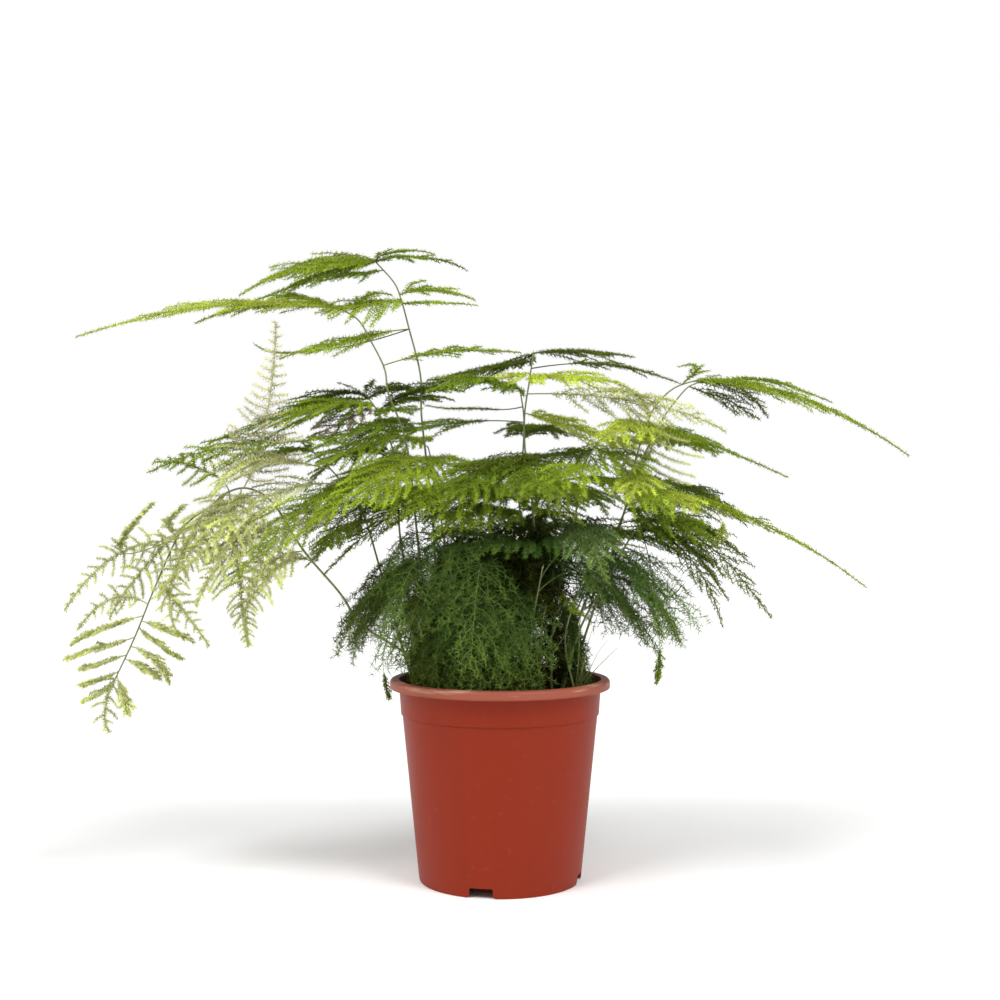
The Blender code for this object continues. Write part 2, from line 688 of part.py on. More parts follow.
class Grower:
    """Turns a planned stem into one closed mesh."""

    def __init__(self):
        self.mesh = bmesh.new()

    def ring(self, tube, distance):
        """A ring of corners round a tube."""
        point, _, side, up = tube.path.frame(distance)
        radius = tube.radius(distance)
        corners = []
        for number in range(tube.sides):
            angle = tube.corner_angle(number)
            offset = (side * math.cos(angle) + up * math.sin(angle)) * radius
            corners.append(self.mesh.verts.new(point + offset))
        return corners

    def join(self, loop, ring):
        """Skin between two rings, turned to match; a four-cornered opening may meet a three."""
        count = len(ring)
        best = None
        for turn in range(count):
            for double in range(len(loop) if len(loop) > count else 1):
                order = [loop[(double + step) % len(loop)] for step in range(len(loop))]
                matched = [ring[(turn + max(0, step - (len(loop) - count))) % count]
                           for step in range(len(loop))]
                total = sum((a.co - b.co).length for a, b in zip(order, matched))
                if best is None or total < best[0]:
                    best = (total, order, matched)
        _, order, matched = best
        for index in range(len(order)):
            after = (index + 1) % len(order)
            if matched[index] is matched[after]:
                self.mesh.faces.new((order[index], order[after], matched[index]))
            else:
                self.mesh.faces.new(
                    (order[index], order[after], matched[after], matched[index])
                )

    def spike(self, corners, tip):
        """Close an opening to a point."""
        apex = self.mesh.verts.new(tip)
        for index, corner in enumerate(corners):
            self.mesh.faces.new((corner, corners[(index + 1) % len(corners)], apex))

    def plain_rings(self, tube):
        """Plain rings that keep a curved tube close to its path between its stations."""
        rings = [Station(distance, None) for distance in tube.first_rings or (tube.first,)]
        taken = sorted(station.distance for station in tube.stations + rings)
        most = RIB_BEND if tube.sides == 3 else STEM_BEND
        last = rings[-1].distance
        position = last
        while position < tube.last - (RING_ROOM + 1.0) * MM:
            position += RING_STEP * MM
            passed = [distance for distance in taken if distance <= position]
            last = max(last, passed[-1])
            turn = tube.path.frame(last)[1].angle(tube.path.frame(position)[1])
            room = min(abs(position - distance) for distance in taken)
            if turn > most and room > RING_ROOM * MM:
                rings.append(Station(position, None))
                last = position
        return rings

    def grow(self, opening, tube):
        """Grow a tube, and all that it carries, out of an opening."""
        half = 0.5 * NODE_LENGTH * MM
        loop = opening
        rings = self.plain_rings(tube)
        stations = sorted([*tube.stations, *rings], key=lambda one: one.distance)
        for station in stations:
            if station.items is None:
                ring = self.ring(tube, station.distance)
                if loop is not None:
                    self.join(loop, ring)
                else:
                    self.mesh.faces.new(list(reversed(ring)))
                loop = ring
                continue
            low = self.ring(tube, station.distance - half)
            high = self.ring(tube, station.distance + half)
            self.join(loop, low)
            for number in range(tube.sides):
                after = (number + 1) % tube.sides
                corners = [low[number], low[after], high[after], high[number]]
                item = station.items.get(number)
                if item is None:
                    self.mesh.faces.new(corners)
                elif isinstance(item, Tube):
                    self.grow(corners, item)
                else:
                    self.spike(corners, item)
            loop = high
        if tube.end is not None:
            ring = self.ring(tube, tube.last)
            self.join(loop, ring)
            self.grow(ring, tube.end)
        else:
            self.spike(loop, tube.path.points[-1])


def place_child(stem_tube, rib, leave):
    """Give a rib its own node on the stem, on the face that looks its way."""
    distance = min(leave, stem_tube.last - 2.5 * MM)
    spacing = CHILD_SPACING * MM
    while any(abs(distance - other.distance) < spacing for other in stem_tube.stations):
        distance -= 0.5 * spacing
    heading = rib.path.point(rib.first + RING_ROOM * MM) - rib.path.points[0]
    face = max(
        range(stem_tube.sides),
        key=lambda number: stem_tube.face_direction(distance, number).dot(heading),
    )
    stem_tube.stations.append(Station(distance, {face: rib}))


def new_object(name, mesh_source, colour, roughness):
    """Make an object with its own material from a bmesh."""
    mesh = bpy.data.meshes.new(name)
    bmesh.ops.recalc_face_normals(mesh_source, faces=mesh_source.faces)
    mesh_source.to_mesh(mesh)
    mesh_source.free()
    thing = bpy.data.objects.new(name, mesh)
    bpy.context.scene.collection.objects.link(thing)
    material = bpy.data.materials.new(name)
    material.use_nodes = True
    shader = material.node_tree.nodes["Principled BSDF"]
    shader.inputs["Base Color"].default_value = colour
    shader.inputs["Roughness"].default_value = roughness
    mesh.materials.append(material)
    return thing


def turned(profile):
    """A solid turned about the Z axis from a profile of (radius, height) in mm that starts on it."""
    mesh = bmesh.new()
    corners = [mesh.verts.new((radius * MM, 0.0, height * MM)) for radius, height in profile]
    edges = [mesh.edges.new(pair) for pair in zip(corners, corners[1:])]
    bmesh.ops.spin(
        mesh, geom=corners + edges, cent=(0, 0, 0), axis=(0, 0, 1), angle=2 * math.pi,
        steps=TURN_STEPS, use_merge=True,
    )
    bmesh.ops.remove_doubles(mesh, verts=mesh.verts, dist=1e-6)
    return mesh


def inner_radius(height):
    """The pot's inner wall at a height, in mm."""
    bottom = FLOOR_HEIGHT + FLOOR_THICKNESS
    taper_top = BAND_RADIUS - BAND_STEP
    low = TAPER_FOOT_RADIUS - WALL + (bottom / BAND_BOTTOM) * (taper_top - TAPER_FOOT_RADIUS)
    if height <= BAND_BOTTOM:
        share = (height - bottom) / (BAND_BOTTOM - bottom)
        return low + (taper_top - WALL - low) * share
    share = (height - BAND_BOTTOM) / (POT_HEIGHT - BAND_BOTTOM)
    return taper_top - WALL + (MOUTH_RADIUS - taper_top + WALL) * share


def cutter(name, mesh_source):
    """A hidden shape that a Boolean takes away."""
    mesh = bpy.data.meshes.new(name)
    bmesh.ops.recalc_face_normals(mesh_source, faces=mesh_source.faces)
    mesh_source.to_mesh(mesh)
    mesh_source.free()
    thing = bpy.data.objects.new(name, mesh)
    thing.hide_render = True
    thing.display_type = "WIRE"
    bpy.context.scene.collection.objects.link(thing)
    return thing


def take_away(thing, tool):
    """Cut a tool's shape out of an object with a Boolean modifier."""
    modifier = thing.modifiers.new(tool.name, "BOOLEAN")
    modifier.operation = "DIFFERENCE"
    modifier.solver = "EXACT"
    modifier.object = tool


def notch_outline():
    """Half-arch of a foot notch as (across, height): rounded out to the floor on both sides."""
    widest = NOTCH_HALF_WIDTH + NOTCH_FLARE
    side = [(widest, -1.0), (widest, 0.0)]
    for step in range(1, 4):
        angle = math.radians(30.0 * step)
        across = widest - NOTCH_FLARE * math.sin(angle)
        side.append((across, 1.6 * NOTCH_FLARE * (1 - math.cos(angle))))
    side.append((NOTCH_HALF_WIDTH, NOTCH_HEIGHT - 1.0))
    side.append((NOTCH_HALF_WIDTH - 1.0, NOTCH_HEIGHT))
    return side + [(-across, height) for across, height in reversed(side)]


def notch_tools():
    """The four arches cut through the foot ring."""
    mesh = bmesh.new()
    for degrees in NOTCH_ANGLES:
        angle = math.radians(degrees - 90.0)
        outward = Vector((math.cos(angle), math.sin(angle), 0.0))
        across = Vector((-outward.y, outward.x, 0.0))
        loops = []
        for radius in (FOOT_RADIUS - NOTCH_REACH, FOOT_RADIUS + NOTCH_REACH):
            loops.append([
                mesh.verts.new((outward * radius + across * u + Vector((0, 0, z))) * MM)
                for u, z in notch_outline()
            ])
        count = len(loops[0])
        mesh.faces.new(loops[0])
        mesh.faces.new(list(reversed(loops[1])))
        for index in range(count):
            after = (index + 1) % count
            mesh.faces.new((loops[0][index], loops[1][index], loops[1][after], loops[0][after]))
    return cutter("notch_tool", mesh)


def drain_tools():
    """The round drain holes through the floor."""
    mesh = bmesh.new()
    for index in range(DRAINS):
        angle = 2 * math.pi * (index + 0.5) / DRAINS
        made = bmesh.ops.create_cone(
            mesh, cap_ends=True, segments=10, radius1=DRAIN_RADIUS * MM,
            radius2=DRAIN_RADIUS * MM, depth=6 * MM,
        )
        centre = Vector((DRAIN_CIRCLE * math.cos(angle), DRAIN_CIRCLE * math.sin(angle), 0.0))
        centre.z = FLOOR_HEIGHT + 0.5 * FLOOR_THICKNESS
        bmesh.ops.translate(mesh, verts=made["verts"], vec=centre * MM)
    return cutter("drain_tool", mesh)


def make_pot():
    """The pot: rolled rim, band with a step below it, tapering wall, foot ring and raised floor."""
    rim_bottom = POT_HEIGHT - RIM_DEPTH
    under_rim = BAND_RADIUS + 1.4
    floor_top = FLOOR_HEIGHT + FLOOR_THICKNESS
    profile = [
        (0.0, floor_top),
        (inner_radius(floor_top), floor_top),
        (inner_radius(BAND_BOTTOM), BAND_BOTTOM),
        (MOUTH_RADIUS, POT_HEIGHT - 1.5),
        (MOUTH_RADIUS + 0.8, POT_HEIGHT),
        (RIM_RADIUS - 1.8, POT_HEIGHT),
        (RIM_RADIUS - 0.4, POT_HEIGHT - 1.2),
        (RIM_RADIUS, POT_HEIGHT - 3.0),
        (RIM_RADIUS, rim_bottom + 0.6),
        (RIM_RADIUS - 0.7, rim_bottom),
        (under_rim, rim_bottom),
        (BAND_RADIUS, BAND_BOTTOM),
        (BAND_RADIUS - BAND_STEP, BAND_BOTTOM - 1.2),
        (TAPER_FOOT_RADIUS, 1.6),
        (FOOT_RADIUS - 0.6, 0.0),
        (FOOT_RADIUS - 2.6, 0.0),
        (FOOT_RADIUS - 2.2, FLOOR_HEIGHT),
        (0.0, FLOOR_HEIGHT),
    ]
    pot = new_object("pot", turned(profile), POT_COLOUR, 0.42)
    take_away(pot, notch_tools())
    take_away(pot, drain_tools())
    pot.data.shade_smooth()
    pot.data.set_sharp_from_angle(angle=math.radians(35.0))
    return pot


def make_soil(stems):
    """The soil: it fills the pot, its top is crumbly, and each stem stands in a plain hole."""
    bottom = FLOOR_HEIGHT + FLOOR_THICKNESS + GAP
    profile = [
        (0.0, bottom),
        (inner_radius(bottom) - GAP, bottom),
        (inner_radius(BAND_BOTTOM) - GAP, BAND_BOTTOM),
        (inner_radius(SOIL_TOP - 2.0) - GAP, SOIL_TOP - 2.0),
    ]
    profile += [(radius, SOIL_TOP - 0.4) for radius in CRUMB_RINGS]
    profile.append((0.0, SOIL_TOP))
    mesh = turned(profile)
    draw = random.Random(CRUMB_SEED)
    for corner in sorted(mesh.verts, key=lambda one: (round(one.co.x, 6), round(one.co.y, 6))):
        if corner.co.z > (SOIL_TOP - 1.0) * MM:
            corner.co.z += draw.uniform(-1.0, 1.0) * CRUMB_HEIGHT * MM
    soil = new_object("soil", mesh, SOIL_COLOUR, 0.95)
    holes = bmesh.new()
    radius = (STEM_BASE_RADIUS + GAP + 0.1) / math.cos(math.pi / HOLE_SIDES)
    floor = STEM_START - HOLE_DEPTH - GAP
    depth = HOLE_DEPTH + HOLE_MARGIN
    for stem in stems:
        made = bmesh.ops.create_cone(
            holes, cap_ends=True, segments=HOLE_SIDES, radius1=radius * MM,
            radius2=radius * MM, depth=depth * MM,
        )
        x, y, _ = stem.route[0]
        centre = Vector((x, y, floor + 0.5 * depth))
        bmesh.ops.translate(holes, verts=made["verts"], vec=centre * MM)
    take_away(soil, cutter("hole_tool", holes))
    return soil


def make_stems(stems):
    """Plan all the stems together, then grow each into its own object."""
    planner = Planner()
    draw = random.Random(BRANCHLET_SEED)
    tubes = [planner.plan_stem(owner, stem) for owner, stem in enumerate(stems)]
    ribs = []
    for owner, (stem, (tube, marks)) in enumerate(zip(stems, tubes)):
        for spray in stem.sprays:
            planned = planner.plan_rib(owner, stem, tube, marks, spray)
            if planned is not None:
                ribs.append((owner, spray, tube, planned))
    for owner, spray, tube, (rib, number, leave, at_top) in ribs:
        planner.fill_rib(owner, rib, number, spray, draw)
        if at_top:
            tube.end = rib
        else:
            place_child(tube, rib, leave)
    for stem, (tube, _) in zip(stems, tubes):
        grower = Grower()
        grower.grow(None, tube)
        new_object(stem.name, grower.mesh, stem.colour, 0.6)


def main():
    """Build the whole plant."""
    for thing in list(bpy.data.objects):
        bpy.data.objects.remove(thing, do_unlink=True)
    stems = TALL_STEMS + BACK_STEMS + tuple(
        low_stem(number, low) for number, low in enumerate(LOW_STEMS)
    )
    make_pot()
    make_soil(stems)
    make_stems(stems)


main()
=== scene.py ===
"""The looks of a potted asparagus fern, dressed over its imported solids.

Every leafy stem is regrown along the same route as its solid. The ribs of its flat sprays are laid
out here, and Geometry Nodes grow the branchlets and the needles along them. The pot is turned with a
finer outline, and the soil is strewn with crumbs. The plant's sizes are in millimetres and become
metres where a mesh is made, while node trees, finishes and the studio are in metres throughout. +Z is
up, -Y is the front, and the origin lies under the pot's axis.
"""

import logging
import math
import random
from dataclasses import dataclass, field
from enum import Enum

import bmesh
import bpy
import numpy as np
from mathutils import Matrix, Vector

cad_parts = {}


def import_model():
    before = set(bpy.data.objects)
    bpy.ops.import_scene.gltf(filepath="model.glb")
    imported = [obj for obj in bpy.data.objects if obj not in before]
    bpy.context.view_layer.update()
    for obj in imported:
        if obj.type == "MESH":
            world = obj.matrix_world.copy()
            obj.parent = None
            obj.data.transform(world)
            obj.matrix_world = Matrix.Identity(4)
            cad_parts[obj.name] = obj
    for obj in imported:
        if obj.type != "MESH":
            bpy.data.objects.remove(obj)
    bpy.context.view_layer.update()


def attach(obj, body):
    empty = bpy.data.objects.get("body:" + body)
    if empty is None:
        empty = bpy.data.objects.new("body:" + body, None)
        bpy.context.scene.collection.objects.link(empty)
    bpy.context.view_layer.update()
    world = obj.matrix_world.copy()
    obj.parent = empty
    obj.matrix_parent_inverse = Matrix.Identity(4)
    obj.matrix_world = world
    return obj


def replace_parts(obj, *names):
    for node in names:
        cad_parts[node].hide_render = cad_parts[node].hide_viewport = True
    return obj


MM = 0.001
BODY = "root"
FULL_TURN = 6.28
WELD = 1e-6
NOISE_RANGE = (0.3, 0.7)
log = logging.getLogger("fern")

Colour = tuple[float, float, float, float]
Point = tuple[float, float, float]
Pair = tuple[float, float]
Outline = tuple[Pair, ...]
Socket = bpy.types.NodeSocket
Value = Socket | bpy.types.Material | Colour | Point | float | int | bool | str
Inputs = dict[str, Value]


def shade(red: float, green: float, blue: float) -> Colour:
    """A linear colour from the sRGB values that a screen shows.

    Args:
        red: Red, from 0 to 255.
        green: Green, from 0 to 255.
        blue: Blue, from 0 to 255.

    Returns:
        The linear colour, opaque.
    """
    parts = [value / 255 for value in (red, green, blue)]
    linear = [part / 12.92 if part <= 0.04045 else ((part + 0.055) / 1.055) ** 2.4 for part in parts]
    return (linear[0], linear[1], linear[2], 1.0)


class Tone(Enum):
    """The colours of the foliage and its wood, by a spray's age and by painted light and shade on lit,
    shaded and backlit sprays.
    """

    YELLOW = shade(228, 242, 90)
    LIGHT = shade(214, 228, 92)
    BRIGHT = shade(178, 202, 54)
    FRESH = shade(156, 182, 48)
    MID = shade(128, 158, 38)
    # painted shade, partly: the dull green of shaded and backlit sprays
    DARK = shade(94, 116, 28)
    PALE = shade(234, 238, 166)
    FADED = shade(246, 242, 196)
    BLUE = shade(86, 126, 56)
    MIST = shade(108, 140, 78)
    # painted shade: the darker green of the bush's left side
    SHADED_LEFT = shade(62, 90, 28)
    # painted shade: the near-black green of the bush's shaded inside
    INNER_SHADE = shade(46, 66, 18)
    DRY = shade(152, 138, 108)
    RIB = shade(176, 190, 118)
    BARK = shade(112, 92, 66)
    STEM_LOW = shade(150, 164, 92)
    STEM_HIGH = shade(120, 132, 82)

    def tint(self) -> Vector:
        """The colour without its opacity."""
        return Vector(self.value[:3])


UP = (0.0, 0.0, 1.0)
TILTED = (0.0, -0.3, 1.0)
FRONT_UP = (0.0, -0.55, 1.0)
FRONT = (0.0, -1.0, 0.3)
SHEER = (0.0, -1.0, 0.1)
FLAT_OUTLINE = ((0.0, 0.6), (0.14, 1.0), (0.42, 0.8), (0.66, 0.44), (0.82, 0.17), (1.0, 0.05))
ARM_OUTLINE = ((0.0, 0.5), (0.12, 1.0), (0.45, 0.8), (0.66, 0.4), (0.8, 0.16), (1.0, 0.05))
FEATHER_OUTLINE = ((0.0, 0.6), (0.2, 1.0), (0.5, 0.68), (0.8, 0.3), (1.0, 0.08))
LACE_OUTLINE = ((0.0, 0.9), (0.12, 1.0), (0.36, 0.74), (0.6, 0.46), (0.82, 0.2), (1.0, 0.08))
BRUSH_OUTLINE = ((0.0, 0.6), (0.2, 1.0), (0.7, 0.8), (1.0, 0.25))
PLUME_OUTLINE = ((0.0, 0.55), (0.2, 1.0), (0.55, 0.85), (0.8, 0.55), (1.0, 0.2))
COMB_OUTLINE = ((0.0, 0.5), (0.4, 1.0), (0.75, 0.9), (1.0, 0.3))


@dataclass(frozen=True)
class Habit:
    """How branchlets and needles grow along a rib.

    Lengths are in millimetres and angles in degrees. The outline gives a spray's width from the first
    branchlet to the tip, against its greatest.
    """

    branchlet_spacing: float
    sweep: float
    scatter: float
    droop: float
    twig_spacing: float
    twig_share: float
    longest_twig: float
    needle_length: float
    needle_radius: float
    spin: float
    outline: Outline = FLAT_OUTLINE

    def width(self, share: float) -> float:
        """A spray's width at a share of its leafy length.

        Args:
            share: How far along it lies, below nought where the rib is bare.

        Returns:
            The width, against the greatest.
        """
        if share < 0:
            return 0.0
        for (start, low), (end, high) in zip(self.outline, self.outline[1:]):
            if share <= end:
                return low + (high - low) * (share - start) / (end - start)
        return self.outline[-1][1]

    def sizes(self, seed: int) -> dict[str, float]:
        """The habit as the named inputs of the tree that grows sprays.

        Args:
            seed: The seed of the tree's random numbers.

        Returns:
            The inputs, in metres and radians.
        """
        return {
            "Branchlet Spacing": self.branchlet_spacing * MM,
            "Sweep": math.radians(self.sweep),
            "Scatter": math.radians(self.scatter),
            "Droop": self.droop,
            "Twig Spacing": self.twig_spacing * MM,
            "Twig Share": self.twig_share,
            "Longest Twig": self.longest_twig * MM,
            "Needle Length": self.needle_length * MM,
            "Needle Width": self.needle_radius * MM,
            "Spin": math.radians(self.spin),
            "Seed": seed,
        }


class Growth(Enum):
    """The habits of the plant's sprays, from flat tiers to the soft plumes of the bush."""

    TIER = Habit(3.6, 41.0, 9.0, 3.2, 1.9, 0.10, 4.0, 2.9, 0.40, 30.0)
    ARM = Habit(3.1, 27.0, 8.0, 2.5, 1.9, 0.12, 4.0, 2.9, 0.40, 40.0, ARM_OUTLINE)
    FEATHER = Habit(4.2, 66.0, 9.0, 2.5, 0.95, 0.03, 0.9, 2.9, 0.50, 35.0, FEATHER_OUTLINE)
    LACE = Habit(3.7, 78.0, 9.0, 2.0, 1.15, 0.10, 1.8, 3.1, 0.40, 60.0, LACE_OUTLINE)
    BRUSH = Habit(1.5, 44.0, 20.0, 2.0, 1.2, 0.06, 0.9, 2.9, 0.52, 70.0, BRUSH_OUTLINE)
    BUSH = Habit(4.4, 50.0, 20.0, 7.0, 3.55, 0.22, 8.0, 4.7, 0.29, 180.0, PLUME_OUTLINE)
    COMB = Habit(3.7, 86.0, 7.0, 2.0, 1.0, 0.05, 1.2, 2.7, 0.40, 45.0, COMB_OUTLINE)
    OPEN = Habit(5.6, 38.0, 8.0, 2.8, 1.5, 0.10, 2.4, 2.9, 0.42, 35.0)
    THICKET = Habit(4.6, 50.0, 24.0, 7.0, 3.8, 0.24, 8.0, 6.0, 0.55, 180.0, PLUME_OUTLINE)


@dataclass(frozen=True)
class Spray:
    """A flat spray: where its rib leaves the stem's route, a point it passes, and its tip."""

    at: float
    via: Point
    tip: Point
    half_width: float
    tone: Tone
    facing: Point = UP
    bare: float = 0.14
    growth: Growth = Growth.TIER


@dataclass(frozen=True)
class Stem:
    """A stem's route, from the soil to the last point, and the sprays it carries."""

    name: str
    slot: str
    route: tuple[Point, ...]
    sprays: tuple[Spray, ...]


